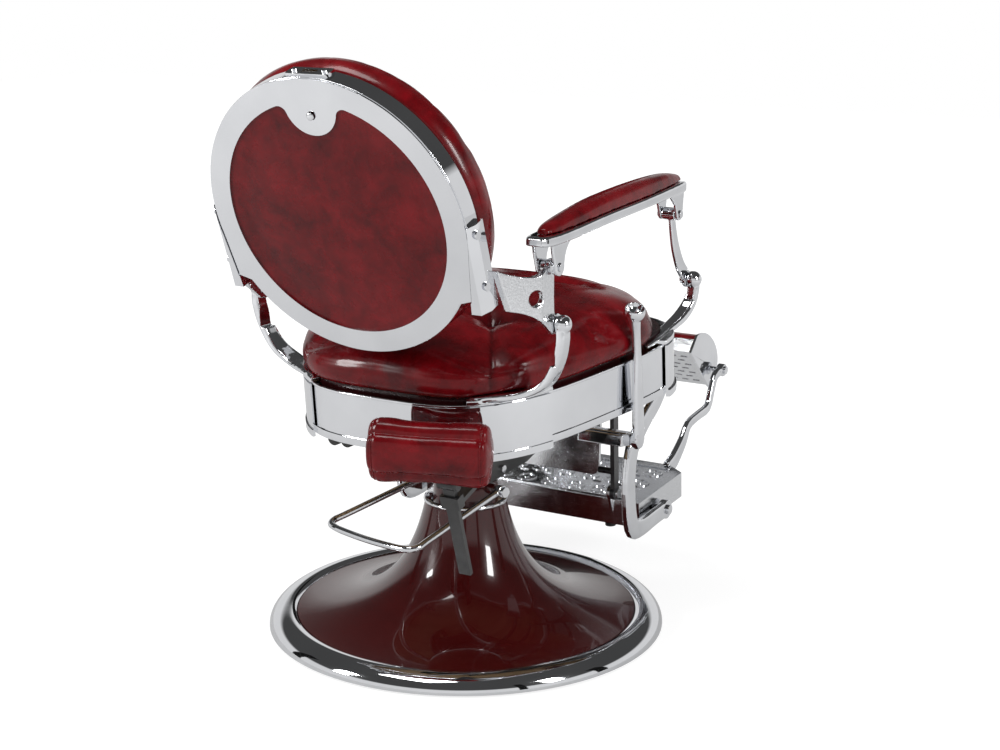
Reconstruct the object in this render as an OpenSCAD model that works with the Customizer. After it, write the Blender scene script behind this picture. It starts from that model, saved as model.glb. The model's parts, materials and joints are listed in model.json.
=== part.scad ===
// Hydraulic barber chair with a round reclining back, parallel footrest linkage and a stored headrest.
// Millimetres. The origin is the centre of the base on the floor, +Z is up and the chair faces -Y,
// so the sitter's right-hand side is -X. Right-hand castings are drawn and mirrored for the left.

/* [Base] */
// Outer diameter of the floor ring
base_d = 700; // [680:10:730]
// Height of the painted bell up to the neck collar
bell_h = 222; // [218:1:226]
// Wall of the cast bell
bell_wall = 5; // [4:0.5:7]

/* [Seat] */
// Width of the seat apron
seat_w = 548; // [536:4:556]
// Length of the seat apron, front to back
seat_l = 560; // [552:4:568]
// Height of the apron's top rim over the base axis
seat_h = 490; // [486:2:494]
// Backward tilt of the seat in degrees
seat_tilt = 5; // [4:0.5:6]
// Height of the apron band
apron_h = 89; // [84:1:92]

/* [Back] */
// Outer diameter of the chrome back cover
back_d = 460; // [450:2:464]
// Opening of the cover, filled by the upholstered panel
panel_d = 388; // [376:2:392]
// Backward lean of the back at rest in degrees
back_lean = 19; // [18:0.5:20]

/* [Arms] */
// Distance between the centre planes of the two arm linkages
arm_span = 560; // [556:1:564]

/* [Footrest] */
// Distance between the centre planes of the two side castings
footrest_span = 480; // [476:1:484]
// Depth of the foot platform, front to back
platform_l = 216; // [210:2:220]

/* [Hidden] */
$fn = 64;

// Finishes
chrome = "gainsboro";
maroon = "#4a0f12";
leather = "#7a1218";
black = "#1c1c1e";
rubber = "#262626";
wood = "#b08a5a";

// Seat frame: superellipse in plan, narrower at the rear
seat_y = -14;
seat_taper = 0.24;
seat_squareness = 3.5;
outline_steps = 144;
apron_wall = 3;
board_t = 16;
board_top = -10;
board_low = board_top - board_t;
strip_top = 16;

// Corners of the apron, as directions from the middle of the seat
rear_corner = 135;
front_corner = 221;
corner_half_angle = 14;

// Back frame: x across, y up the back from its lowest point of the panel, z to the front
back_foot = [0, 312, 582];
back_mid = 200;
back_r = back_d / 2;
panel_r = panel_d / 2;
band_z = 34;
ear_x = 216;
ear_y = 83;
slot_w = 26;
slot_t = 10;

// Arm linkage, in the side plane [y, z]
arm_x = arm_span / 2;
pivot_a = [193, 607];
pivot_b = [207, 699];
pivot_c = [-230, 721];
pivot_d = [-300, 595];
plate_t = 8;
pin_r = 5;
running_gap = 0.3;
open_gap = 1.8;

// Footrest linkage, in the side plane [y, z]
casting_x = footrest_span / 2;
pivot_f = [-305, 400];
platform_pivot = [-318, 153];
link_foot = [-228, 200];
link_head = pivot_f + link_foot - platform_pivot;
link_x = 180;
link_t = 8;
platform_half_w = 228;
platform_rear = -240;
front_arm_x = 188;
flip_pivot = [-690, 333];
flip_half_w = 172;

// Recline lever, in the side plane [y, z]
lever_pivot = [-69, 358];
lever_x = 300;

// Pump pedal
pedal_yaw = -12.6;
pedal_z = 255;
pedal_half_w = 104;
pedal_reach = 238;
pedal_drop = 43;
pedal_rod = 12;

// Stored headrest
headrest_x = -140;
headrest_yaw = 17;
stem_top = [286, 356];
stem_bottom = [232, 184];

// ---------------------------------------------------------------- helpers

function signed_power(v, p) = sign(v) * pow(abs(v), p);
function reversed(v) = [for (i = [len(v) - 1:-1:0]) v[i]];
function bezier(a, b, c, d, n = 16) =
    [for (i = [0:n]) let (t = i / n, u = 1 - t) u*u*u*a + 3*u*u*t*b + 3*u*t*t*c + t*t*t*d];
function spline_point(a, b, c, d, t) =
    0.5 * (2*b + (c - a)*t + (2*a - 5*b + 4*c - d)*t*t + (3*b - 3*c + d - a)*t*t*t);
function spline(p, n) = [
    for (i = [0:len(p) - 2]) for (j = [0:n - 1])
        spline_point(p[max(i - 1, 0)], p[i], p[i + 1], p[min(i + 2, len(p) - 1)], j / n),
    p[len(p) - 1]
];
function segment_distance(p, a, b) =
    let (ab = b - a, t = max(0, min(1, (p - a) * ab / (ab * ab)))) norm(p - a - t * ab);

module mirrored() { children(); mirror([1, 0, 0]) children(); }

// Puts a drawing of the side plane (x = chair y, y = chair z) upright; its z runs along chair x
module side_plane(x = 0) translate([x, 0, 0]) rotate([90, 0, 90]) children();

// A bore, pin or disc along chair x, centred at the side-plane point p
module cross_pin(p, x0, x1, r) side_plane(min(x0, x1)) translate([p[0], p[1], 0])
    cylinder(h = abs(x1 - x0), r = r);

// Casting swept along control points [x, y, width, thickness, z offset] of its own plane.
// With flat = true the section has a flat side on the path.
module swept_bar(control, steps = 4, sides = 12, squareness = 0.6, flat = false) {
    p = spline(control, steps);
    n = len(p);
    ring = [for (k = [0:sides - 1]) 360 * (k + 0.5) / sides];
    points = [for (i = [0:n - 1]) let (d = p[min(i + 1, n - 1)] - p[max(i - 1, 0)],
                                       t = [d[0], d[1]] / norm([d[0], d[1]]))
        for (a = ring) let (w = p[i][2] / 2 * signed_power(cos(a), squareness),
                            u = flat ? max(w, 0) * 2 : w)
            [p[i][0] - t[1] * u, p[i][1] + t[0] * u,
             p[i][4] + p[i][3] / 2 * signed_power(sin(a), squareness)]];
    sides_of = [for (i = [0:n - 2]) for (k = [0:sides - 1])
        let (a = i * sides + k, b = i * sides + (k + 1) % sides, c = b + sides, d = a + sides)
        each [[a, d, c], [a, c, b]]];
    start = [for (k = [1:sides - 2]) [0, k, k + 1]];
    last = (n - 1) * sides;
    end = [for (k = [1:sides - 2]) [last, last + k + 1, last + k]];
    polyhedron(points, concat(sides_of, start, end));
}

// Closed solid from rings of points that run from the top middle, over the edge, to the bottom
module ringed_solid(rings, top, bottom) {
    n = len(rings[0]);
    m = len(rings);
    points = concat([for (r = rings) each r], [top, bottom]);
    walls = [for (i = [0:m - 2]) for (k = [0:n - 1])
        let (a = i * n + k, b = i * n + (k + 1) % n, c = b + n, d = a + n) each [[a, b, c], [a, c, d]]];
    cap = [for (k = [0:n - 1]) [m * n, (k + 1) % n, k]];
    foot = [for (k = [0:n - 1]) [m * n + 1, (m - 1) * n + k, (m - 1) * n + (k + 1) % n]];
    polyhedron(points, concat(walls, cap, foot));
}

function seat_radius(a, grow = 0) = pow(pow(abs(cos(a)) / (seat_w / 2 + grow), seat_squareness)
    + pow(abs(sin(a)) / (seat_l / 2 + grow), seat_squareness), -1 / seat_squareness);
function seat_point(a, grow = 0) = let (r = seat_radius(a, grow), y = r * sin(a))
    [r * cos(a) * (1 - seat_taper * y / (seat_l / 2)), seat_y + y];
module seat_outline(grow = 0)
    polygon([for (i = [0:outline_steps - 1]) seat_point(360 * i / outline_steps, grow)]);
module seat_band(outer, inner) difference() { seat_outline(outer); seat_outline(inner); }
module seat_frame() translate([0, 0, seat_h]) rotate([-seat_tilt, 0, 0]) children();
module corner_sector(a, reach = 420)
    polygon([[0, seat_y], for (s = [-1, 1])
        [reach * cos(a + s * corner_half_angle), seat_y + reach * sin(a + s * corner_half_angle)]]);
module four_corners() for (a = [rear_corner, front_corner]) mirrored() corner_sector(a);

module back_frame() translate(back_foot) rotate([90 - back_lean, 0, 0]) children();

// ---------------------------------------------------------------- base

module floor_pad() color(rubber) {
    rotate_extrude($fn = 120) translate([base_d / 2 - 32, 0]) square([20, 4]);
    cylinder(h = 4, r = 45);
}

module base_ring() color(chrome) rotate_extrude($fn = 144) difference() {
    crest = base_d / 2 - 34;
    polygon(concat(
        [for (a = [0:9:90]) [crest + 34 * cos(a), 4 + 28 * sin(a)]],
        [for (a = [99:9:180]) [crest + 16 * cos(a), 22 + 10 * sin(a)]],
        [[crest - 16, 4]]));
    translate([base_d / 2 - 34, 0]) square([24, 5]);
}

function bell_profile(inset) = bezier([base_d / 2 - 50, 27 - inset], [150, 34 - inset],
    [96 - inset, 110], [72 - inset, bell_h], 24);
module base_bell() color(maroon) rotate_extrude($fn = 120) {
    difference() {
        polygon(concat(bell_profile(0), reversed(bell_profile(bell_wall))));
        translate([0, bell_h]) square([base_d, 10]);
    }
    translate([base_d / 2 - 56, 10]) square([6, 14]);
    translate([71, bell_h - 6]) circle(3.5);
    translate([72.5, bell_h - 15]) circle(2.5);
}

module base_plate() color(black) difference() {
    translate([0, 0, 4]) cylinder(h = 6, r = base_d / 2 - 50);
    for (i = [0:5]) rotate(60 * i + 30) translate([180, 0, 0]) cylinder(h = 30, r = 40, center = true);
}

module neck_collar() color(chrome) rotate_extrude($fn = 96) difference() {
    union() {
        translate([57, bell_h]) square([13, 9]);
        translate([70, bell_h + 4.5]) circle(4.5);
    }
    translate([0, bell_h - 10]) square([57, 30]);
}

module pump_cylinder() color(maroon) difference() {
    union() {
        translate([0, 0, 10]) cylinder(h = bell_h, r = 48);
        translate([0, 0, bell_h - 8]) cylinder(h = 48, r = 57);
        rotate([0, 0, pedal_yaw]) translate([0, 0, pedal_z]) rotate([0, 90, 0])
            cylinder(h = 140, r = 10, center = true);
    }
    translate([0, 0, 40]) cylinder(h = 300, r = 24 + running_gap);
}

module pedal_pins() color(chrome) rotate([0, 0, pedal_yaw]) mirrored() translate([70, 0, pedal_z])
    rotate([0, 90, 0]) {
        cylinder(h = 22, r = pin_r);
        translate([0, 0, 22]) cylinder(h = 4, r = 9);
    }

module pump_pedal() color(chrome) rotate([0, 0, pedal_yaw]) translate([0, 0, pedal_z]) {
    slope = asin(pedal_drop / pedal_reach);
    reach = pedal_reach / cos(slope);
    rod = [pedal_rod, pedal_rod, 0];
    eye_x = 82;
    path = [
        [eye_x, 8], [eye_x + 4, 50], [pedal_half_w - 3, reach - 40], [pedal_half_w, reach - 24],
        [pedal_half_w - 6, reach - 7], [pedal_half_w - 24, reach], [pedal_half_w / 2, reach + 3]
    ];
    half = [for (q = path) concat(q, rod)];
    other = [for (q = reversed(path)) concat([-q[0], q[1]], rod)];
    difference() {
        union() {
            rotate([-slope, 0, 0]) swept_bar(concat(half, [concat([0, reach + 5], rod)], other),
                steps = 3, sides = 16, squareness = 1);
            mirrored() translate([eye_x - 5, 0, 0]) rotate([0, 90, 0]) cylinder(h = 12, r = 11);
        }
        rotate([0, 90, 0]) cylinder(h = 400, r = pin_r + running_gap, center = true);
    }
}

module piston_ram() color(chrome) translate([0, 0, 60]) cylinder(h = 236, r = 24);

// ---------------------------------------------------------------- seat frame

module seat_hub() color(black) difference() {
    union() {
        translate([0, 0, 270]) cylinder(h = 40, r = 44);
        translate([-chassis_x, -85, 308]) cube([2 * chassis_x, 170, 8]);
    }
    translate([0, 0, 260]) cylinder(h = 38, r = 24 + running_gap);
}

chassis_x = 62;
module chassis_side() linear_extrude(6) difference() {
    polygon([[95, 316], [95, 480], [-240, 500], [-240, 430], [-262, 425], [-326, 418],
             [-326, 384], [-250, 374], [-190, 300], [-100, 276], [60, 270], [85, 290]]);
    for (y = [-130, -40, 50]) translate([y, 395]) circle(28);
}
// Keeps only what lies below the seat board
module hung_from_board() difference() {
    children();
    seat_frame() translate([-350, -400, board_low]) cube([700, 800, 160]);
}
module seat_chassis() color(black) hung_from_board() difference() {
    union() {
        mirrored() side_plane(chassis_x) chassis_side();
        side_plane(-chassis_x) translate([-60, 316, 0]) cube([20, 30, 2 * chassis_x]);
        side_plane(-chassis_x) translate([40, 316, 0]) cube([20, 30, 2 * chassis_x]);
        cross_pin(link_head, -link_x - 10, link_x + 10, 8);
    }
    cross_pin(pivot_f, -100, 100, 9 + running_gap);
}

module chassis_bolts() color(chrome) mirrored() for (q = [[-10, 286], [-60, 300], [60, 300]])
    cross_pin(q, chassis_x + 6, chassis_x + 11, 7);

module seat_apron() color(chrome) seat_frame() {
    translate([0, 0, -apron_h]) linear_extrude(apron_h) seat_band(0, -apron_wall);
    translate([0, 0, -apron_h]) linear_extrude(13) seat_band(2.5, -1);
    translate([0, 0, -4]) linear_extrude(4) seat_band(1.5, -1);
}

module corner_castings() color(chrome) seat_frame() {
    translate([0, 0, -apron_h - 7]) linear_extrude(apron_h + 4)
        intersection() { seat_band(5.5, 2.5); four_corners(); }
    translate([0, 0, -apron_h - 7]) linear_extrude(12)
        intersection() { seat_band(8, 2.5); four_corners(); }
}

// Curved arm posts rise from feet that lap over the rim
module rim_foot(a, half_angle) seat_frame() linear_extrude(9) intersection() {
    seat_band(6, -11.5);
    polygon([[0, seat_y], for (s = [-1, 1])
        [420 * cos(a + s * half_angle), seat_y + 420 * sin(a + s * half_angle)]]);
}
module post_head(p) {
    translate([-arm_x - 13, p[0], p[1]]) sphere(15, $fn = 48);
}
module post_bore(p) cross_pin(p, -arm_x - 24, -arm_x + 30, pin_r);
// Room for the upholstery inside the rim
module upholstery_block() seat_frame() translate([0, 0, board_low - 4]) linear_extrude(110)
    seat_outline(-11.5);
module rear_post() difference() {
    union() {
        rim_foot(rear_corner, 15);
        rotate([90, 0, 0]) swept_bar([
            [-150, 477, 9, 34, -224], [-184, 480, 12, 44, -204], [-226, 487, 13, 42, -186],
            [-262, 508, 14, 36, -184], [-284, 545, 15, 31, -188], [-293, 580, 16, 28, -192],
            [-293, 600, 17, 26, -193]], squareness = 0.45);
        post_head(pivot_a);
    }
    translate([-arm_x - plate_t / 2 - 0.5, 150, 540]) cube([60, 90, 120]);
    upholstery_block();
    post_bore(pivot_a);
}
module front_post() difference() {
    union() {
        rim_foot(front_corner, 15);
        side_plane(0) swept_bar([
            [-122, 506, 7, 12, -286], [-160, 511, 9, 17, -285], [-204, 516, 11, 22, -280],
            [-240, 523, 13, 25, -281], [-272, 534, 15, 26, -284], [-294, 554, 16, 24, -289],
            [-300, 578, 17, 21, -293], [-300, 589, 17, 19, -293]],
            squareness = 0.45);
        post_head(pivot_d);
    }
    translate([-arm_x - plate_t / 2 - 0.5, -360, 568]) cube([60, 100, 60]);
    upholstery_block();
    post_bore(pivot_d);
}
module rear_arm_posts() color(chrome) mirrored() rear_post();
module front_arm_posts() color(chrome) mirrored() front_post();
module post_pins() color(chrome) mirrored() for (p = [pivot_a, pivot_d]) {
    cross_pin(p, -arm_x - 24, -arm_x + 9, pin_r);
    cross_pin(p, -arm_x + 6, -arm_x + 10, 9);
}

module seat_board() color(wood) seat_frame() translate([0, 0, board_low])
    linear_extrude(board_t) seat_outline(-apron_wall);

module seat_strip() color(black) seat_frame() translate([0, 0, board_top])
    linear_extrude(strip_top - board_top) seat_outline(-12);

// ---------------------------------------------------------------- cushions

// Depth of a sewn button's dimple and of the pleats that join the buttons, at the plan point p
function tufting(p, buttons, pleats, depth, width) =
    max([for (b = buttons) depth * exp(-pow(norm(p - b) / width, 2))])
    + max([for (s = pleats) 0.4 * depth * exp(-pow(segment_distance(p, s[0], s[1]) / (0.4 * width), 2))]);

cushion_sectors = 64;
module button_cap() rotate_extrude($fn = 32) intersection() {
    translate([0, -6]) circle(11.5);
    square([9, 6]);
}
seat_cushion_z = [strip_top, 66, 104];
seat_button_at = [[-105, 80], [105, 80], [-105, -180], [105, -180], [0, -50]];
seat_pleats = concat(
    [for (s = [-1, 1]) each [
        [[s*105, 80], [0, -50]], [[s*105, -180], [0, -50]],
        [[s*105, 80], [s*200, 250]], [[s*105, 80], [s*290, -20]],
        [[s*105, -180], [s*310, -130]], [[s*105, -180], [s*215, -330]]]],
    [[[-105, 80], [105, 80]], [[-105, -180], [105, -180]]]);
// Outline of the cushion: the seat outline drawn in at the rear, where the back swings down
function seat_cushion_point(a, scale) = let (q = seat_point(a, -14))
    [q[0] * scale, seat_y + (q[1] - seat_y) * scale * (sin(a) > 0 ? 1 - 0.05 * sin(a) : 1)];
function seat_cushion_drop(p) = p[1] > 60 ? 42 * pow((p[1] - 60) / 190, 2) : 0;
function seat_cushion_height(p, s) = seat_cushion_z[1]
    + (seat_cushion_z[2] - seat_cushion_z[1]) * pow(1 - pow(s, 3), 0.42)
    - seat_cushion_drop(p) * min(1, 2 - 0.9 * s) - tufting(p, seat_button_at, seat_pleats, 20, 30);
function seat_button_z(b) = seat_cushion_height(b, norm(b - [0, seat_y]) / 270) + 3;
module seat_cushion() color(leather) seat_frame() difference() {
    seat_cushion_body();
    for (b = seat_button_at) translate([b[0], b[1], seat_button_z(b)]) cylinder(h = 60, r = 10);
}
module seat_cushion_body() {
    low = seat_cushion_z[0];
    mid = seat_cushion_z[1];
    scales = [0.14, 0.28, 0.42, 0.54, 0.65, 0.75, 0.84, 0.91, 0.965, 0.995];
    angles = [for (i = [0:cushion_sectors - 1]) 360 * i / cushion_sectors];
    upper = [for (s = scales) [for (a = angles) let (p = seat_cushion_point(a, s))
        [p[0], p[1], seat_cushion_height(p, s)]]];
    lower = [for (q = [[1, 0.5], [0.992, 0.85], [0.97, 1]]) [for (a = angles)
        let (p = seat_cushion_point(a, q[0]), top = mid - 0.62 * seat_cushion_drop(p))
        [p[0], p[1], top - (top - low) * q[1]]]];
    middle = [0, seat_y];
    ringed_solid(concat(upper, lower), [middle[0], middle[1], seat_cushion_height(middle, 0)],
        [middle[0], middle[1], low]);
}
module seat_buttons() color(leather) seat_frame() for (b = seat_button_at)
    translate([b[0], b[1], seat_button_z(b)]) button_cap();

back_buttons_at = concat([[0, 0]],
    [for (a = [45:90:315]) 76 * [cos(a), sin(a)]], [for (a = [0:45:315]) 150 * [cos(a), sin(a)]]);
back_pleats = concat(
    [for (a = [45:90:315]) [[0, 0], 76 * [cos(a), sin(a)]]],
    [for (a = [45:90:315]) for (d = [-45, 0, 45]) [76 * [cos(a), sin(a)], 150 * [cos(a + d), sin(a + d)]]],
    [for (a = [0:45:315]) [150 * [cos(a), sin(a)], 250 * [cos(a), sin(a)]]]);
function back_cushion_height(p, s) = 78 + 40 * pow(1 - pow(s, 3), 0.45)
    - tufting(p, back_buttons_at, back_pleats, 18, 26);
function back_button_z(b) = back_cushion_height(b, norm(b) / (back_r + 8)) + 3;
module back_cushion() color(leather) back_frame() translate([0, back_mid, 0]) difference() {
    back_cushion_body();
    for (b = back_buttons_at) translate([b[0], b[1], back_button_z(b)]) cylinder(h = 60, r = 10);
}
module back_cushion_body() {
    scales = [0.12, 0.22, 0.33, 0.44, 0.54, 0.645, 0.75, 0.84, 0.92, 0.975];
    angles = [for (i = [0:cushion_sectors - 1]) 360 * i / cushion_sectors];
    radius = back_r + 8;
    upper = [for (s = scales) [for (a = angles) let (p = radius * s * [cos(a), sin(a)])
        [p[0], p[1], back_cushion_height(p, s)]]];
    lower = [for (q = [[1, 64], [0.985, 48], [0.95, band_z]]) [for (a = angles)
        let (fold = tufting(radius * [cos(a), sin(a)], back_buttons_at, back_pleats, 18, 26),
             r = radius * q[0] - 0.25 * fold)
        [r * cos(a), r * sin(a), q[1]]]];
    ringed_solid(concat(upper, lower), [0, 0, back_cushion_height([0, 0], 0)], [0, 0, band_z]);
}
module back_buttons() color(leather) back_frame() for (b = back_buttons_at)
    translate([b[0], back_mid + b[1], back_button_z(b)]) button_cap();

// ---------------------------------------------------------------- back shell

module back_outline(grow = 0) {
    translate([0, back_mid]) circle(back_r + grow, $fn = 144);
    polygon([
        [-back_r + 1.5 - grow, back_mid - 22], [-ear_x - grow, ear_y - grow], [-168, ear_y - 14 - grow],
        [0, ear_y + 20],
        [168, ear_y - 14 - grow], [ear_x + grow, ear_y - grow], [back_r - 1.5 + grow, back_mid - 22]]);
}
module panel_opening(grow = 0) difference() {
    translate([0, back_mid]) circle(panel_r + grow, $fn = 144);
    translate([0, back_mid + panel_r - 8]) {
        circle(46 - grow);
        translate([-62 + grow, 0]) square([124 - 2 * grow, 30]);
    }
}
module back_cover() color(chrome) back_frame() difference() {
    linear_extrude(3) difference() { back_outline(0); panel_opening(0); }
    translate([0, back_mid + panel_r - 22, -1]) cylinder(h = 6, r = 7);
}
module back_panel() color(leather) back_frame() {
    translate([0, 0, 3]) linear_extrude(9) difference() {
        translate([0, back_mid]) circle(back_r - 12, $fn = 144);
        translate([0, back_mid + panel_r - 22]) circle(7);
    }
    intersection() {
        translate([0, 0, -6]) linear_extrude(9.5) panel_opening(-0.6);
        translate([0, back_mid, 1800 - 4.5]) sphere(1800, $fn = 360);
    }
}
module headrest_socket() back_frame() translate([-slot_w / 2, back_mid + back_r - 130, 20 - slot_t / 2])
    cube([slot_w, 150, slot_t]);
module back_band() color(chrome) difference() {
    back_frame() translate([0, 0, 3]) linear_extrude(band_z - 3) difference() {
        back_outline(1.5);
        back_outline(-4);
    }
    headrest_socket();
}
module back_board() color(wood) difference() {
    back_frame() translate([0, back_mid, 12]) difference() {
        cylinder(h = band_z - 12, r = back_r - 4, $fn = 144);
        translate([0, panel_r - 22, -1]) cylinder(h = 16, r = 12);
    }
    headrest_socket();
}

// Bars on the sides of the rim that carry the arm linkage
side_bar_y = [62, 206];
module side_bars() color(chrome) back_frame() mirrored()
    difference() {
        translate([0, 0, -2]) linear_extrude(band_z + 4) difference() {
            polygon([[-back_r - 9.5, side_bar_y[0]], [-back_r - 9.5, side_bar_y[1]],
                     [-back_r + 1, side_bar_y[1]], [-ear_x + 2, side_bar_y[0]]]);
            back_outline(1.5);
        }
        for (y = [104, 190]) translate([-back_r - 20, y, 14]) rotate([0, 90, 0]) cylinder(h = 30, r = 4);
    }

// Textured plates between the back and the arm pivots: cut from the side outline and the plan band
module quadrant_side() {
    difference() {
        union() {
            polygon(concat(
                spline([[345, 722], [316, 706], [282, 694], [250, 690], [226, 700]], 5),
                [[214, 702], [204, 690], [204, 650], [202, 624], [188, 604]],
                spline([[206, 592], [238, 616], [270, 634], [320, 646], [352, 646]], 5)));
            translate(pivot_a) circle(16);
            translate(pivot_b) circle(13);
        }
        translate([251, 656]) circle(13);
    }
}
module quadrant_plate() difference() {
    union() {
        intersection() {
            side_plane(-arm_x - 30) linear_extrude(90) quadrant_side();
            translate([0, 0, 560]) linear_extrude(200) polygon([
                [-arm_x - plate_t / 2, 160], [-arm_x + plate_t / 2, 160],
                [-arm_x + plate_t / 2, 236], [-back_r - 1.5, 326], [-back_r - 1.5, 356],
                [-back_r - 9.5, 356], [-back_r - 9.5, 334], [-arm_x - plate_t / 2, 242]]);
        }
        fork_boss(pivot_b, 11);
    }
    cross_pin(pivot_a, -arm_x - 20, -arm_x + 20, pin_r + running_gap);
    cross_pin(pivot_b, -arm_x - 20, -arm_x + 20, pin_r + running_gap);
}
module quadrant_plates() color(chrome) difference() {
    mirrored() quadrant_plate();
    back_frame() translate([-400, -20, -20]) cube([800, 300, 20 + band_z + 2]);
}

module back_screws() color(chrome) back_frame() {
    mirrored() for (y = [104, 190]) translate([-back_r - 12, y, 14]) rotate([0, 90, 0]) {
        cylinder(h = 9, r = 4);
        cylinder(h = 2.5, r = 7);
    }
    for (x = [-27, 27]) translate([x, back_mid + back_r + 4.5, 20]) rotate([-90, 0, 0])
        cylinder(h = 3, r = 5);
}

module headrest_slot_plate() color(chrome) back_frame() difference() {
    translate([0, back_mid + back_r - 2, 20]) rotate([-90, 0, 0]) difference() {
        intersection() {
            translate([-38, -12, 0]) cube([76, 24, 6.5]);
            cylinder(h = 20, r = 38);
        }
        translate([-slot_w / 2, -slot_t / 2, -1]) cube([slot_w, slot_t, 12]);
    }
    translate([0, back_mid, 0]) cylinder(h = 60, r = back_r + 1.5, $fn = 144);
}

module lock_button() color(chrome) back_frame() translate([0, back_mid + panel_r - 22, 0]) {
    translate([0, 0, -6]) cylinder(h = 20, r = 6.4);
    translate([0, 0, 12]) cylinder(h = 4, r = 11);
}

// ---------------------------------------------------------------- arms

arm_path = [[-250, 768, 12, 30, 0], [-238, 768, 20, 44, 0], [-180, 766, 19, 52, 0],
            [-70, 761, 18, 57, 0], [65, 755, 18, 57, 0], [150, 749, 18, 55, 0], [215, 745, 17, 50, 0],
            [250, 744, 16, 40, 0], [264, 744, 11, 26, 0]];
pad_nodes = [1, 2, 3, 4, 5, 6, 7];
pad_thickness = [11, 21, 26, 25, 21, 15, 8];
pad_width = [26, 41, 48, 48, 43, 34, 20];
pad_path = [for (i = [0:6]) let (q = arm_path[pad_nodes[i]])
    [q[0] * (i == 6 ? 0.95 : 1), q[1] + q[2] / 2 + 0.35, pad_thickness[i], pad_width[i], 0]];
// The fork under each end of the arm: x ranges of its outer leg, of the part between, of its inner leg
leg_t = 6;
outer_leg = -arm_x - 16;
inner_leg = -arm_x + 16;
leg_gap = 0.6;
module fork_boss(p, r) cross_pin(p, outer_leg + leg_t + leg_gap, inner_leg - leg_gap, r);
module rear_leg() {
    translate(pivot_b) circle(14);
    polygon(concat([[221, 698], [229, 722], [233, 746]],
        bezier([130, 751], [172, 741], [192, 730], [193.2, 698], 10)));
}
module front_leg() {
    translate(pivot_c) circle(11);
    polygon([[-247, 768], [-241, 720], [-219, 720], [-212, 738], [-196, 752], [-180, 766]]);
}
module right_armrest() color(chrome) {
    side_plane(-arm_x) swept_bar(arm_path, squareness = 0.3);
    for (x = [outer_leg, inner_leg]) side_plane(x) linear_extrude(leg_t) difference() {
        union() {
            rear_leg();
            front_leg();
        }
        translate(pivot_b) circle(pin_r);
        translate(pivot_c) circle(pin_r);
    }
}
module right_arm_pad() color(leather) side_plane(-arm_x)
    swept_bar(pad_path, squareness = 0.85, sides = 20, flat = true);
module right_arm_pins() color(chrome) for (p = [pivot_b, pivot_c]) {
    cross_pin(p, outer_leg, inner_leg + leg_t, pin_r);
    cross_pin(p, outer_leg - 2.4, outer_leg, 7);
    cross_pin(p, inner_leg + leg_t, inner_leg + leg_t + 2.4, 7);
}
module right_front_link() color(chrome) difference() {
    union() {
        side_plane(-arm_x) swept_bar([
            [pivot_c[0], pivot_c[1] - 4, 17, 7.4, 0], [-235, 694, 19, 7.6, 0], [-247, 660, 23, 7.8, 0],
            [-268, 625, 26, 8, 0], [pivot_d[0] + 10, pivot_d[1] + 10, 26, 8, 0]], squareness = 0.35);
        side_plane(-arm_x - plate_t / 2) linear_extrude(plate_t) translate(pivot_d) circle(15);
        fork_boss(pivot_c, 11);
    }
    cross_pin(pivot_c, -arm_x - 20, -arm_x + 20, pin_r + open_gap);
    cross_pin(pivot_d, -arm_x - 20, -arm_x + 20, pin_r + running_gap);
}
module left_armrest() mirror([1, 0, 0]) right_armrest();
module left_arm_pad() mirror([1, 0, 0]) right_arm_pad();
module left_arm_pins() mirror([1, 0, 0]) right_arm_pins();
module left_front_link() mirror([1, 0, 0]) right_front_link();

// ---------------------------------------------------------------- footrest

module side_casting() difference() {
    union() {
        side_plane(-casting_x) swept_bar([
            [-300, 400, 30, 12, 0], [-268, 372, 34, 12, 0], [-214, 342, 36, 13, 0],
            [-172, 306, 38, 14, 0], [-160, 250, 38, 14, 0], [-166, 190, 38, 14, 0],
            [-180, 156, 38, 14, 0], [-216, 148, 34, 13, 0], [-270, 151, 32, 12, 0],
            [-312, 153, 32, 12, 0]], steps = 3, squareness = 0.4);
        cross_pin(pivot_f, -casting_x - 6, -casting_x + 6, 20);
        cross_pin(platform_pivot, -casting_x - 6, -casting_x + 8, 18);
    }
    cross_pin(pivot_f, -casting_x - 20, -casting_x + 20, 9);
    cross_pin(platform_pivot, -casting_x - 20, -casting_x + 20, 6 + running_gap);
}
module side_castings() color(chrome) mirrored() side_casting();
module footrest_shaft() color(black) cross_pin(pivot_f, -casting_x - 12, casting_x + 12, 9);

module link_bar() difference() {
    union() {
        side_plane(-link_x - link_t / 2) linear_extrude(link_t) {
            translate(link_foot) circle(13);
            translate(link_head) circle(15);
            polygon([link_foot + [-9, 0], link_foot + [9, 0], link_head + [9, 0], link_head + [-9, 0]]);
        }
        cross_pin([-226, 300], -link_x, -148, 6);
        cross_pin([-227, 240], -link_x, -148, 6);
    }
    cross_pin(link_foot, -link_x - 20, -link_x + 20, 6 + running_gap);
    cross_pin(link_head, -link_x - 20, -link_x + 20, 8 + running_gap);
}
module rear_links() color(black) mirrored() link_bar();

// Rectangle with round corners, centred on the origin
module rounded_plate(w, h, r) {
    square([w - 2 * r, h], center = true);
    square([w, h - 2 * r], center = true);
    for (x = [-w / 2 + r, w / 2 - r]) for (y = [-h / 2 + r, h / 2 - r]) translate([x, y]) circle(r);
}
heel_w = 296;
heel_h = 106;
module heel_panel() color(chrome) translate([0, -227, 282]) rotate([93, 0, 0]) {
    linear_extrude(4) rounded_plate(heel_w, heel_h, 14);
    linear_extrude(7) difference() {
        rounded_plate(heel_w, heel_h, 14);
        rounded_plate(heel_w - 12, heel_h - 12, 9);
    }
}

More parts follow.
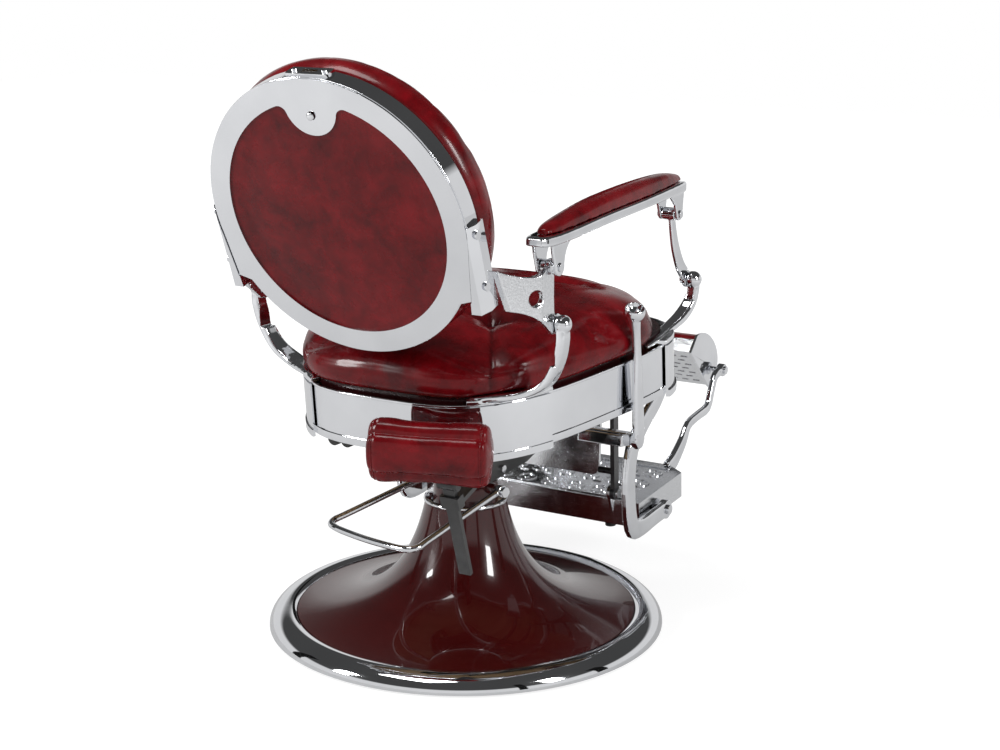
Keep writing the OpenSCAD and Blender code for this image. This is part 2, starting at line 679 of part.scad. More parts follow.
platform_top = 186;
platform_low = 138;
platform_slope = 3;
module platform_frame() translate([0, platform_rear, 0]) rotate([-platform_slope, 0, 0]) children();
module platform_plan(inset) polygon([
    [-platform_half_w + inset, -inset], [platform_half_w - inset, -inset],
    [platform_half_w - inset, -platform_l + 30], [platform_half_w - 40, -platform_l + inset],
    [-platform_half_w + 40, -platform_l + inset], [-platform_half_w + inset, -platform_l + 30]]);
module foot_platform() color(chrome) difference() {
    union() {
        platform_frame() {
            difference() {
                translate([0, 0, platform_low]) linear_extrude(platform_top - platform_low)
                    platform_plan(0);
                translate([0, 0, platform_low - 1]) linear_extrude(platform_top - platform_low - 3)
                    platform_plan(4);
            }
            translate([0, 0, platform_top]) tread_scrolls();
        }
        mirrored() side_plane(-link_x + link_t / 2 + 1) linear_extrude(6) union() {
            translate(link_foot) circle(13);
            polygon([link_foot + [-13, 0], link_foot + [13, 0], [-232, 160], [-262, 160]]);
        }
        mirrored() cross_pin(link_foot, -link_x - 8, -link_x + link_t / 2 + 2, 6);
        mirrored() cross_pin(link_foot, -link_x - 9, -link_x - 4.6, 9);
    }
    cross_pin(platform_pivot, -300, 300, 4);
}
// Raised scrolls of the tread, in rows of rings and bars
module tread_scrolls() {
    rows = 3;
    columns = 8;
    pitch = 52;
    for (r = [0:rows - 1]) for (c = [0:columns - 1])
        translate([(c - (columns - 1) / 2) * pitch, -38 - r * 60, 0]) {
            rotate_extrude($fn = 24) translate([15, 0]) square([4, 2.2]);
            cylinder(h = 2.6, r = 5, $fn = 24);
            if (c < columns - 1) translate([pitch / 2 - 8, 20, 0]) cube([16, 4, 2.2]);
        }
    for (y = [-12, -platform_l + 24]) translate([-platform_half_w + 36, y, 0])
        cube([2 * platform_half_w - 72, 4, 2.2]);
}
module stud_positions() platform_frame() for (x = [-150, 150]) for (y = [-40, -platform_l + 50])
    translate([x, y, 0]) children();
module platform_studs() color(chrome) stud_positions()
    translate([0, 0, platform_low - 14]) cylinder(h = platform_top - platform_low + 10, r = 9);
module stud_tips() color(rubber) stud_positions() translate([0, 0, platform_low - 20])
    cylinder(h = 6, r = 10);

module front_arm() difference() {
    union() {
        side_plane(-front_arm_x) swept_bar([
            [-436, 190, 34, 14, 0], [-468, 202, 32, 14, 0], [-506, 230, 26, 13, 0],
            [-530, 256, 20, 12, 0], [-574, 264, 18, 12, 0], [-622, 270, 20, 12, 0],
            [-640, 300, 18, 12, 0], [-656, 326, 18, 12, 0], [-684, 333, 18, 12, 0]],
            steps = 3, squareness = 0.5);
        cross_pin(flip_pivot, -front_arm_x - 7, -front_arm_x + 7, 13);
    }
    platform_frame() translate([0, 0, platform_low - 6])
        linear_extrude(platform_top - platform_low + 6) platform_plan(0);
    cross_pin(flip_pivot, -front_arm_x - 20, -front_arm_x + 20, pin_r);
}
module front_arms() color(chrome) mirrored() front_arm();

module platform_screws() color(chrome) mirrored() {
    cross_pin(platform_pivot, -casting_x - 6, -platform_half_w + 30, 4);
    cross_pin(platform_pivot, -casting_x - 6, -platform_half_w - 1, 6);
    cross_pin(platform_pivot, -casting_x - 11, -casting_x - 6.4, 9);
    cross_pin(flip_pivot, -front_arm_x - 7, -flip_half_w + 8, pin_r);
    cross_pin(flip_pivot, -front_arm_x - 11, -front_arm_x - 7, 8);
}

// Flip-over rest: its own frame runs along the plate from the pivot end, 45 degrees up to the rear
flip_angle = 44;
flip_l = 124;
module flip_frame() translate([0, flip_pivot[0], flip_pivot[1]]) rotate([flip_angle, 0, 0]) children();
module flip_plate() color(chrome) flip_frame() translate([-flip_half_w + 6, 0, -38]) {
    difference() {
        union() {
            translate([0, -2, 0]) cube([2 * flip_half_w - 12, flip_l, 4]);
            translate([0, flip_l - 6, 0]) cube([2 * flip_half_w - 12, 4, 30]);
            translate([0, -2, 0]) cube([2 * flip_half_w - 12, 4, 26]);
        }
    }
    for (r = [0:6]) for (c = [0:12])
        translate([10 + c * 24 + (r % 2) * 10, 9 + r * 15, -1.4]) cube([14, 4, 1.4]);
}
module flip_cushion() color(leather) flip_frame() side_plane(-flip_half_w + 8)
    linear_extrude(2 * flip_half_w - 16) difference() {
        polygon(concat([[0, 26]], bezier([0, 26], [8, 44], [96, 40], [116, -2], 14), [[114, -7], [0, -8]]));
        circle(14);
    }
module flip_end_plates() color(chrome) mirrored() flip_frame() difference() {
    side_plane(-flip_half_w) linear_extrude(5) polygon(concat(
        [[-6, -40], [-12, -16]], bezier([-12, 0], [-12, 52], [88, 52], [122, 2], 14), [[122, -40]]));
    translate([-flip_half_w - 10, 0, 0]) rotate([0, 90, 0]) cylinder(h = 30, r = pin_r + running_gap);
}

// ---------------------------------------------------------------- recline lever

module recline_lever() color(chrome) difference() {
    union() {
        side_plane(-lever_x) swept_bar([
            [-46, 578, 24, 22, 0], [-49, 566, 22, 17, 0], [-54, 546, 18, 13, 0], [-60, 506, 20, 11, 0],
            [-65, 446, 28, 11, 0], [-69, 396, 32, 12, 0], [-71, 358, 32, 12, 0],
            [-72, 342, 18, 10, 0]], squareness = 0.55);
        translate([-lever_x, -48, 583]) sphere(18, $fn = 48);
        cross_pin(lever_pivot, -lever_x - 6, -lever_x + 8, 15);
    }
    translate([-lever_x - 3, -44, 594]) sphere(15, $fn = 48);
    cross_pin(lever_pivot, -lever_x - 2, -lever_x + 20, 8 + running_gap);
}
module lever_crank() color(chrome) side_plane(-lever_x + 8) translate(lever_pivot) rotate([0, 0, 10])
    difference() {
        translate([-20, -11, 0]) cube([66, 20, 84]);
        translate([11, -7, 5]) cube([30, 20, 74]);
        translate([0, 0, -1]) cylinder(h = 90, r = 8 + running_gap);
    }
module lever_hanger() color(black) {
    cross_pin(lever_pivot, -lever_x - 1.7, -chassis_x - 6, 8);
    side_plane(-chassis_x - 12) linear_extrude(6) translate(lever_pivot)
        polygon([[-24, -12], [24, -12], [36, 48], [-36, 48]]);
}

// ---------------------------------------------------------------- stored headrest

module stem_frame() {
    lean = atan2(stem_top[0] - stem_bottom[0], stem_top[1] - stem_bottom[1]);
    translate([headrest_x, stem_bottom[0], stem_bottom[1]]) rotate([-lean, 0, 0]) children();
}
stem_l = 172;
tilt_pin = [283.5, 348];
module headrest_stem() color(black) {
    stem_frame() translate([-11, -4, 0]) cube([22, 8, stem_l]);
    cross_pin(tilt_pin, headrest_x - 11, headrest_x + 11, 8);
    cross_pin(tilt_pin, headrest_x - 18, headrest_x + 18, 4);
}
module headrest_holder() color(black) hung_from_board() difference() {
    union() {
        stem_frame() translate([-17, -10, 130]) cube([34, 18, 22]);
        stem_frame() translate([-17, -76, 136]) cube([34, 68, 8]);
        translate([headrest_x - 17, 196, 334]) cube([34, 9, 140]);
    }
    stem_frame() translate([-11.5, -4.5, 100]) cube([23, 9, 90]);
}
module pad_frame() translate([headrest_x + 14, 316, 408]) rotate([0, 0, headrest_yaw]) children();
module bracket_plate() translate([headrest_x - 18, 280, 360]) cube([36, 12, 34]);
module headrest_pad() color(leather) difference() {
    pad_frame() rotate([90, 0, 0]) swept_bar([
            for (q = [[-94, 84], [-90, 98], [-76, 104], [-40, 102], [0, 100], [40, 102], [76, 104],
                      [90, 98], [94, 84]]) [q[0], 0, q[1], 0.68 * q[1], 0]],
        steps = 3, sides = 24, squareness = 0.72);
    bracket_plate();
}
module headrest_bracket() color(black) difference() {
    union() {
        bracket_plate();
        for (x = [headrest_x - 18, headrest_x + 11.4]) side_plane(x) linear_extrude(6.6) {
            translate(tilt_pin) circle(8);
            polygon([tilt_pin + [-8, 0], tilt_pin + [8, 0], [292, 364], [280, 364]]);
        }
    }
    cross_pin(tilt_pin, headrest_x - 30, headrest_x + 30, 4 + running_gap);
}

module under_seat_knobs() color(rubber) hung_from_board() for (x = [96, 122]) {
    translate([x, 224, 372]) rotate([90, 0, 0]) cylinder(h = 16, r = 12);
    translate([x - 4, 212, 372]) cube([8, 8, 100]);
}

floor_pad();
base_ring();
base_bell();
base_plate();
neck_collar();
pump_cylinder();
pedal_pins();
pump_pedal();
piston_ram();
seat_hub();
seat_chassis();
chassis_bolts();
footrest_shaft();
seat_apron();
corner_castings();
rear_arm_posts();
front_arm_posts();
post_pins();
seat_board();
seat_strip();
seat_cushion();
seat_buttons();
headrest_holder();
under_seat_knobs();
lever_hanger();
back_cover();
back_panel();
back_band();
back_board();
back_cushion();
back_buttons();
side_bars();
quadrant_plates();
back_screws();
headrest_slot_plate();
lock_button();
right_armrest();
left_armrest();
right_arm_pad();
left_arm_pad();
right_arm_pins();
left_arm_pins();
right_front_link();
left_front_link();
side_castings();
rear_links();
heel_panel();
foot_platform();
platform_studs();
stud_tips();
front_arms();
platform_screws();
flip_plate();
flip_cushion();
flip_end_plates();
recline_lever();
lever_crank();
headrest_pad();
headrest_bracket();
headrest_stem();
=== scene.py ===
"""Hydraulic barber chair: leather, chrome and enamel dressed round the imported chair."""

import json
import math

import bmesh
import bpy
from mathutils import Matrix, Vector, noise
from mathutils.bvhtree import BVHTree


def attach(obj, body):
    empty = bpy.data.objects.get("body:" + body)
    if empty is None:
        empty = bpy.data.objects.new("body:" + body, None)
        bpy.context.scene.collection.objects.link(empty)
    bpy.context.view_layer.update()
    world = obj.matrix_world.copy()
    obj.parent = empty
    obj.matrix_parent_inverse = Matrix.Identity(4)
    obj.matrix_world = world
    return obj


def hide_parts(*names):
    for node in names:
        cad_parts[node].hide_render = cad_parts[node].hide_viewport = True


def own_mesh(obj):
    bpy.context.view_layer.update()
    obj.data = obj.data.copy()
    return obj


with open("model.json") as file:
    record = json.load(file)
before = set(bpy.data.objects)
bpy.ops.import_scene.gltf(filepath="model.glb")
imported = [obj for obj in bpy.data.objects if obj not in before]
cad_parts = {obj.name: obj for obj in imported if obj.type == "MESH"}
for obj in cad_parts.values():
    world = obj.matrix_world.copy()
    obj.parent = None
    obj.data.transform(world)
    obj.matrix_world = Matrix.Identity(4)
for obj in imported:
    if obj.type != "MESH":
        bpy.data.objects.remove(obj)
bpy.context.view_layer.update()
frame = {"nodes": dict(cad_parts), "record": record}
NODES = frame["nodes"]
RECORD = frame["record"]
BODY_OF = {node: body for body, nodes in RECORD["behaviour"]["bodies"].items() for node in nodes}
MM = 0.001

# ------------------------------------------------------------------ measures

SEAT = Matrix.Translation((0, 0, 0.490)) @ Matrix.Rotation(math.radians(-5), 4, "X")
SEAT_Y = -14 * MM
SEAT_HALF_WIDTH = 0.274
SEAT_HALF_LENGTH = 0.280
BACK = Matrix.Translation((0, 0.312, 0.582)) @ Matrix.Rotation(math.radians(71), 4, "X")
BACK_MID = 200 * MM
BACK_CENTRE = BACK @ Matrix.Translation((0, BACK_MID, 0))
BAR_EDGE = 231 * MM
HEADREST_CENTRE = Vector((-126, 316, 408)) * MM
HEADREST_YAW = math.radians(17)
HEADREST_SEAM = 87 * MM
PIPING_RADIUS = 1.3 * MM
PIPING_STEP = 2.5 * MM

TURNED_STEPS = 240
CUSHION_SECTORS = 192
CLOTH_FRAMES = 20
CLOTH_PRESSURE = 4.0

# Tufting: the cloth is fixed this close to a button, nearly fixed this close to a pleat, and let go over
# this height above the board. Valleys and creases follow the pleats, wells and mouths surround the buttons.
BUTTON_HOLD = 14 * MM
PLEAT_HOLD = 6 * MM
HOLD_FADE = 26 * MM
PLEAT_REACH = 70 * MM
VALLEY_WIDTH = 24 * MM
CREASE_WIDTH = 3.2 * MM
GATHER_WIDTH = 62 * MM
BUTTON_REACH = 110 * MM
WELL_WIDTH = 30 * MM
MOUTH_WIDTH = 12 * MM
MOUTH_DEPTH = 5 * MM
SIDE_FADE = 16 * MM
EDGE_FADE = 30 * MM
PUCKER_DEPTH = 3.6 * MM
PUCKER_RING = 0.020
PUCKER_WIDTH = 0.018
CLEARANCE = 1.0 * MM

BUTTON_FLATNESS = 0.42
BUTTON_RIM = 0.18
PUNCH_PITCH = 2.6 * MM
PUNCH_DEPTH = 0.3 * MM

# Studio: how bright the walls and the ceiling are for the chrome, and the room for everything else.
WALL_GLOW = 0.74
CEILING_GLOW = 0.06
ROOM_GLOW = 0.50
FLOOR_TONE = (0.80, 0.80, 0.80)
MIRRORED_FLOOR = (0.26, 0.26, 0.26)
FLOOR_HALF = 9.0
CARD_TONE = (0.01, 0.01, 0.01)

# ------------------------------------------------------------------ camera

CAMERA_AT = Vector((-1.5666, 2.5926, 1.2053))
CAMERA_YAW = math.radians(30.0)
CAMERA_PITCH = 0.245
LENS = 64.8
SENSOR_WIDTH = 36.0


def make_camera():
    data = bpy.data.cameras.new("camera")
    data.lens = LENS
    data.sensor_width = SENSOR_WIDTH
    camera = bpy.data.objects.new("camera", data)
    bpy.context.scene.collection.objects.link(camera)
    level = Vector((math.sin(CAMERA_YAW), -math.cos(CAMERA_YAW), 0.0))
    forward = level * math.cos(CAMERA_PITCH) - Vector((0, 0, math.sin(CAMERA_PITCH)))
    turn = forward.to_track_quat("-Z", "Y").to_matrix().to_4x4()
    camera.matrix_world = Matrix.Translation(CAMERA_AT) @ turn
    bpy.context.scene.camera = camera


# ------------------------------------------------------------------ materials

def feed(tree, socket, value):
    """Sets a socket to a number or a colour, or joins a node's output to it."""
    if isinstance(value, bpy.types.NodeSocket):
        tree.links.new(value, socket)
    elif isinstance(value, tuple):
        socket.default_value = (*value, 1.0)
    else:
        socket.default_value = value


def maths(tree, operation, a, b):
    made = tree.nodes.new("ShaderNodeMath")
    made.operation = operation
    feed(tree, made.inputs[0], a)
    feed(tree, made.inputs[1], b)
    return made.outputs["Value"]


def map_range(tree, value, low, high, to_low, to_high):
    made = tree.nodes.new("ShaderNodeMapRange")
    for socket, number in (("From Min", low), ("From Max", high), ("To Min", to_low), ("To Max", to_high)):
        made.inputs[socket].default_value = number
    tree.links.new(value, made.inputs["Value"])
    return made.outputs["Result"]


class Shader:
    """A material whose nodes are added one call at a time."""

    def __init__(self, name, colour, metallic=0.0, roughness=0.5, **sockets):
        self.material = bpy.data.materials.new(name)
        self.material.use_nodes = True
        self.tree = self.material.node_tree
        self.surface = self.tree.nodes["Principled BSDF"]
        self.set("Base Color", (*colour, 1.0))
        self.set("Metallic", metallic)
        self.set("Roughness", roughness)
        for socket, value in sockets.items():
            self.set(socket.replace("_", " "), value)
        self.place = self.tree.nodes.new("ShaderNodeTexCoord").outputs["Object"]

    def set(self, socket, value):
        self.surface.inputs[socket].default_value = value

    def join(self, source, target):
        self.tree.links.new(source, target)

    def node(self, kind, **values):
        made = self.tree.nodes.new("ShaderNode" + kind)
        for key, value in values.items():
            setattr(made, key, value)
        return made

    def noise(self, scale, detail, roughness=0.5, distortion=0.0, stretch=None):
        made = self.node("TexNoise")
        for socket, value in (("Scale", scale), ("Detail", detail), ("Roughness", roughness),
                              ("Distortion", distortion)):
            made.inputs[socket].default_value = value
        self.join(self.stretched(stretch) if stretch else self.place, made.inputs["Vector"])
        return made.outputs["Fac"]

    def stretched(self, scale):
        mapping = self.node("Mapping")
        mapping.inputs["Scale"].default_value = scale
        self.join(self.place, mapping.inputs["Vector"])
        return mapping.outputs["Vector"]

    def cells(self, scale):
        made = self.node("TexVoronoi", feature="SMOOTH_F1")
        made.inputs["Scale"].default_value = scale
        self.join(self.place, made.inputs["Vector"])
        return made.outputs["Distance"]

    def remap(self, value, low, high, to_low, to_high):
        return map_range(self.tree, value, low, high, to_low, to_high)

    def math(self, operation, a, b):
        return maths(self.tree, operation, a, b)

    def ramp(self, value, *stops):
        made = self.node("ValToRGB")
        ramp = made.color_ramp
        while len(ramp.elements) < len(stops):
            ramp.elements.new(0.5)
        for element, (position, colour) in zip(ramp.elements, stops):
            element.position = position
            element.color = (*colour, 1.0)
        self.join(value, made.inputs["Fac"])
        return made.outputs["Color"]

    def mix(self, factor, a, b):
        made = self.node("Mix", data_type="RGBA")
        for socket, value in ((made.inputs[0], factor), (made.inputs[6], a), (made.inputs[7], b)):
            feed(self.tree, socket, value)
        return made.outputs[2]

    def colour(self, source):
        self.join(source, self.surface.inputs["Base Color"])

    def gloss(self, source):
        self.join(source, self.surface.inputs["Roughness"])

    def bump(self, height, strength, distance, over=None, coat=False):
        made = self.node("Bump")
        made.inputs["Strength"].default_value = strength
        made.inputs["Distance"].default_value = distance
        self.join(height, made.inputs["Height"])
        if over is not None:
            self.join(over, made.inputs["Normal"])
        self.join(made.outputs["Normal"], self.surface.inputs["Normal"])
        if coat:
            self.join(made.outputs["Normal"], self.surface.inputs["Coat Normal"])
        return made.outputs["Normal"]

    def attribute(self, name):
        return self.node("Attribute", attribute_name=name).outputs["Fac"]


def polished_chrome():
    finish = Shader("polished_chrome", (0.80, 0.81, 0.835), metallic=1.0, roughness=0.05)
    smudge = finish.noise(14, 5, 0.6)
    finish.gloss(finish.remap(smudge, 0.35, 0.75, 0.030, 0.075))
    finish.colour(finish.ramp(finish.noise(9, 3), (0.3, (0.765, 0.775, 0.80)), (0.7, (0.835, 0.845, 0.87))))
    finish.bump(finish.noise(40, 2), 0.04, 0.0006)
    return finish.material


def cast_chrome():
    """Chrome over a sand casting: brighter high spots and a slow ripple left by hand polishing."""
    finish = Shader("cast_chrome", (0.78, 0.79, 0.815), metallic=1.0, roughness=0.07)
    finish.gloss(finish.remap(finish.noise(30, 5, 0.6), 0.3, 0.8, 0.045, 0.11))
    finish.colour(finish.ramp(finish.noise(16, 4), (0.3, (0.73, 0.74, 0.765)), (0.7, (0.84, 0.85, 0.875))))
    ripple = finish.bump(finish.noise(55, 2), 0.10, 0.0012)
    finish.bump(finish.noise(900, 3, 0.7), 0.04, 0.0002, over=ripple)
    return finish.material


def hammered_chrome():
    """Chrome over a stippled ground, each dimple painted darker as shade."""
    finish = Shader("hammered_chrome", (0.76, 0.77, 0.79), metallic=1.0, roughness=0.14)
    dimples = finish.cells(620)
    # painted shade: the base colour darkens towards the middle of each dimple, where the bump is deepest
    finish.colour(finish.ramp(dimples, (0.1, (0.66, 0.67, 0.69)), (0.6, (0.83, 0.84, 0.86))))
    finish.gloss(finish.remap(finish.noise(60, 4), 0.3, 0.7, 0.10, 0.20))
    finish.bump(dimples, 0.22, 0.0004)
    return finish.material


def oxblood_enamel():
    finish = Shader("oxblood_enamel", (0.036, 0.0022, 0.0022), roughness=0.20,
                    Coat_Weight=0.8, Coat_Roughness=0.02, Specular_IOR_Level=0.2)
    # painted reflection: noise stretched upright paints lighter and darker vertical streaks into the enamel,
    # standing for streaky reflections on the bell
    streak_reflections = finish.noise(3.5, 3, 0.5, stretch=(1, 1, 0.4))
    finish.colour(finish.ramp(streak_reflections, (0.35, (0.030, 0.0018, 0.0018)), (0.65, (0.046, 0.0030, 0.0030))))
    finish.bump(finish.noise(22, 2, 0.4), 0.10, 0.0012, coat=True)
    return finish.material


def black_enamel():
    finish = Shader("black_enamel", (0.012, 0.012, 0.013), roughness=0.32,
                    Coat_Weight=0.4, Coat_Roughness=0.15)
    dust = finish.noise(30, 5, 0.6)
    finish.colour(finish.ramp(dust, (0.4, (0.010, 0.010, 0.011)), (0.75, (0.028, 0.027, 0.027))))
    finish.gloss(finish.remap(dust, 0.3, 0.7, 0.26, 0.42))
    finish.bump(finish.noise(700, 2), 0.12, 0.0003)
    return finish.material


def leather(name, dark, mid, bright):
    """Waxed two-tone leather: cloudy colour, painted shade in the folds and round the buttons, fine grain
    under a hard wax coat.
    """
    finish = Shader(name, mid, roughness=0.26, Coat_Weight=0.22, Coat_Roughness=0.07, Specular_IOR_Level=0.16)
    large_clouds = finish.math("MULTIPLY", finish.noise(9, 5, 0.62, 0.8), 0.55)
    small_clouds = finish.math("MULTIPLY", finish.noise(30, 5, 0.65, 0.5), 0.45)
    clouds = finish.math("ADD", large_clouds, small_clouds)
    tone = finish.ramp(clouds, (0.37, dark), (0.50, mid), (0.64, bright))
    # painted shade: the colour is mixed towards near-black where the mesh attribute marks creases, button
    # mouths and wells
    fold = finish.remap(finish.attribute("fold"), 0.0, 1.0, 0.0, 0.9)
    finish.colour(finish.mix(fold, tone, tuple(c * 0.18 for c in dark)))
    finish.gloss(finish.remap(finish.noise(40, 4), 0.3, 0.7, 0.21, 0.36))
    creases = finish.bump(finish.noise(60, 4, 0.55), 0.07, 0.0010)
    finish.bump(finish.cells(700), 0.16, 0.00020, over=creases, coat=True)
    return finish.material


def rubber():
    finish = Shader("black_rubber", (0.015, 0.015, 0.015), roughness=0.6)
    worn = finish.noise(40, 4)
    finish.colour(finish.ramp(worn, (0.3, (0.011, 0.011, 0.011)), (0.7, (0.024, 0.023, 0.022))))
    finish.gloss(finish.remap(finish.noise(90, 3), 0.3, 0.7, 0.5, 0.75))
    finish.bump(finish.noise(1200, 2), 0.2, 0.0002)
    return finish.material


def plywood():
    finish = Shader("plywood", (0.32, 0.21, 0.11), roughness=0.6)
    rings = finish.noise(6, 4, 0.6, 1.5, stretch=(0.6, 6, 14))
    finish.colour(finish.ramp(rings, (0.3, (0.22, 0.13, 0.06)), (0.7, (0.42, 0.29, 0.16))))
    finish.gloss(finish.remap(rings, 0.3, 0.7, 0.5, 0.7))
    finish.bump(rings, 0.15, 0.0004)
    return finish.material


def ground_steel():
    finish = Shader("ground_steel", (0.55, 0.55, 0.56), metallic=1.0, roughness=0.22)
    rings = finish.noise(120, 3, 0.6, stretch=(0.2, 0.2, 6))
    finish.colour(finish.ramp(rings, (0.3, (0.45, 0.45, 0.46)), (0.7, (0.64, 0.64, 0.65))))
    finish.gloss(finish.remap(rings, 0.3, 0.7, 0.16, 0.32))
    finish.bump(rings, 0.06, 0.0002)
    return finish.material


CHROME = polished_chrome()
CAST = cast_chrome()
HAMMERED = hammered_chrome()
ENAMEL = oxblood_enamel()
BLACK = black_enamel()
LEATHER = leather("oxblood_leather", dark=(0.050, 0.0006, 0.0016), mid=(0.098, 0.0010, 0.0026),
                  bright=(0.150, 0.0022, 0.0048))
# painted shade: the welt under the seat cushion is leather made near-black, standing for the shade in the gap
# between the cushion and the apron
GAP_SHADE_LEATHER = leather("dark_leather", dark=(0.008, 0.001, 0.001), mid=(0.014, 0.0015, 0.002),
                       bright=(0.024, 0.002, 0.003))
RUBBER = rubber()
PLYWOOD = plywood()
STEEL = ground_steel()

FINISHES = {
    CHROME: ["base_ring", "neck_collar", "pedal_pins", "chassis_bolts", "seat_apron", "corner_castings",
             "post_pins", "back_cover", "back_band", "side_bars", "back_screws", "headrest_slot_plate",
             "lock_button", "right_arm_pins", "left_arm_pins", "platform_studs", "platform_screws",
             "flip_end_plates"],
    CAST: ["pump_pedal", "rear_arm_posts", "front_arm_posts", "right_armrest", "left_armrest",
           "right_front_link", "left_front_link", "side_castings", "front_arms", "recline_lever",
           "lever_crank"],
    HAMMERED: ["quadrant_plates", "heel_panel", "foot_platform", "flip_plate"],
    ENAMEL: ["base_bell", "pump_cylinder"],
    BLACK: ["base_plate", "seat_hub", "seat_chassis", "headrest_holder", "lever_hanger", "footrest_shaft",
            "rear_links", "headrest_bracket", "headrest_stem"],
    LEATHER: ["seat_cushion", "seat_buttons", "back_panel", "back_cushion", "back_buttons", "right_arm_pad",
              "left_arm_pad", "flip_cushion", "headrest_pad"],
    # the seat welt's near-black leather is painted shade of the gap under the cushion
    GAP_SHADE_LEATHER: ["seat_strip"],
    RUBBER: ["floor_pad", "under_seat_knobs", "stud_tips"],
    PLYWOOD: ["seat_board", "back_board"],
    STEEL: ["piston_ram"],
}


def finish_nodes():
    for material, names in FINISHES.items():
        for name in names:
            slots = NODES[name].material_slots
            for one in slots:
                one.material = material
            if not slots:
                NODES[name].data.materials.append(material)


# ------------------------------------------------------------------ mesh helpers

def only(obj):
    bpy.ops.object.select_all(action="DESELECT")
    obj.select_set(True)
    bpy.context.view_layer.objects.active = obj


def new_object(name, mesh, material, node):
    """A piece that rides with a CAD node, in the finish that it is given."""
    obj = bpy.data.objects.new(name, mesh)
    bpy.context.scene.collection.objects.link(obj)
    mesh.materials.clear()
    mesh.materials.append(material)
    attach(obj, BODY_OF[node])
    return obj


def copy_of(node, name, material):
    """A welded copy of a CAD node's mesh, ready for modifiers."""
    mesh = NODES[node].data.copy()
    mesh.name = name
    work = bmesh.new()
    work.from_mesh(mesh)
    bmesh.ops.remove_doubles(work, verts=work.verts, dist=0.02 * MM)
    work.to_mesh(mesh)
    work.free()
    return new_object(name, mesh, material, node)


def apply(obj, kind, **values):
    only(obj)
    modifier = obj.modifiers.new(kind.title(), kind)
    for key, value in values.items():
        setattr(modifier, key, value)
    bpy.ops.object.modifier_apply(modifier=modifier.name)


def smooth(obj, angle=None):
    only(obj)
    if angle is None:
        bpy.ops.object.shade_smooth()
    else:
        bpy.ops.object.shade_smooth_by_angle(angle=math.radians(angle))


def melt(obj, voxel, passes):
    """Turns a faceted solid into one soft skin; the voxel is in millimetres."""
    apply(obj, "REMESH", mode="VOXEL", voxel_size=voxel * MM)
    apply(obj, "SMOOTH", factor=0.5, iterations=passes)


def break_edges(obj, width, sharper_than=38, shade_angle=36):
    """Takes a small bevel off the sharp edges, so that they catch the light, and keeps the flats flat."""
    apply(obj, "BEVEL", width=width * MM, segments=2, limit_method="ANGLE",
          angle_limit=math.radians(sharper_than))
    smooth(obj, shade_angle)
    apply(obj, "WEIGHTED_NORMAL", keep_sharp=True)


def casting(node, voxel=1.3, passes=8):
    """A CAD casting with its facets melted into one skin and small fillets at its joins."""
    obj = copy_of(node, node + "_casting", CAST)
    melt(obj, voxel, passes)
    smooth(obj)
    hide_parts(node)


def polished(node, material, width=0.7):
    """A machined or pressed part with its edges broken."""
    obj = copy_of(node, node + "_polished", material)
    break_edges(obj, width)
    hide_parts(node)


def traced(points):
    """A chain of edges through points in millimetres, all selected in edit mode."""
    bpy.ops.object.select_all(action="DESELECT")
    bpy.ops.mesh.primitive_plane_add(size=1 * MM)
    bpy.ops.object.mode_set(mode="EDIT")
    bpy.ops.mesh.select_all(action="SELECT")
    bpy.ops.mesh.merge(type="CENTER")
    bpy.ops.transform.translate(value=[c * MM for c in points[0]])
    for a, b in zip(points, points[1:]):
        bpy.ops.mesh.extrude_region_move(
            TRANSFORM_OT_translate={"value": [(end - start) * MM for start, end in zip(a, b)]})
    bpy.ops.mesh.select_all(action="SELECT")
    return bpy.context.object


def make_side_bars():
    """The bars along the rim: the outer rear edge of each is planed off."""
    bars = copy_of("side_bars", "side_bars_polished", CHROME)
    work = bmesh.new()
    work.from_mesh(bars.data)
    for side in (-1, 1):
        near = [f for f in work.faces if side * f.calc_center_median().x > 0]
        geom = list({v for f in near for v in f.verts}) + list({e for f in near for e in f.edges}) + near
        cut = bmesh.ops.bisect_plane(work, geom=geom, dist=1e-6, clear_outer=True,
                                     plane_co=BACK @ Vector((side * BAR_EDGE, 0, -2 * MM)),
                                     plane_no=BACK.to_3x3() @ Vector((side * 0.90, 0, -0.43)))["geom_cut"]
        bmesh.ops.edgenet_fill(work, edges=[e for e in cut if isinstance(e, bmesh.types.BMEdge)])
    bmesh.ops.recalc_face_normals(work, faces=work.faces)
    work.to_mesh(bars.data)
    work.free()
    break_edges(bars, width=0.8, sharper_than=30, shade_angle=32)
    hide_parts("side_bars")


def make_shoulder(side, plan, thickness):
    """A flat filler with the given plan, mirrored for the other side of the cover, in millimetres."""
    shoulder = traced([(side * x, y, 0) for x, y in plan])
    bpy.ops.mesh.edge_face_add()
    bpy.ops.mesh.extrude_region_move(TRANSFORM_OT_translate={"value": (0, 0, thickness * MM)})
    bpy.ops.mesh.select_all(action="SELECT")
    bpy.ops.mesh.normals_make_consistent(inside=False)
    bpy.ops.object.mode_set(mode="OBJECT")
    shoulder.data.transform(BACK_CENTRE)
    return shoulder


def make_cover():
    """The rear cover: round shoulders are joined on where its tongue meets the ring."""
    ring_radius, tongue_half, tongue_top, fillet = 194.0, 46.0, 186.0, 14.0
    reach = ring_radius - fillet
    up = (reach ** 2 - (tongue_half + fillet) ** 2 + tongue_top ** 2) / (2 * tongue_top)
    out = math.sqrt(reach ** 2 - up ** 2)
    start, end = math.atan2(up, out), math.atan2(tongue_top - up, -out)
    turn = [start + (end - start) * i / 14 for i in range(15)]
    plan = [(out + fillet * math.cos(t), up + fillet * math.sin(t)) for t in turn] + [(38, 193), (66, 195)]
    cover = copy_of("back_cover", "back_cover_polished", CHROME)
    for side in (-1, 1):
        shoulder = make_shoulder(side, plan, thickness=3)
        apply(cover, "BOOLEAN", operation="UNION", object=shoulder, solver="EXACT")
        bpy.data.objects.remove(shoulder)
    break_edges(cover, width=0.8)
    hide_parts("back_cover")


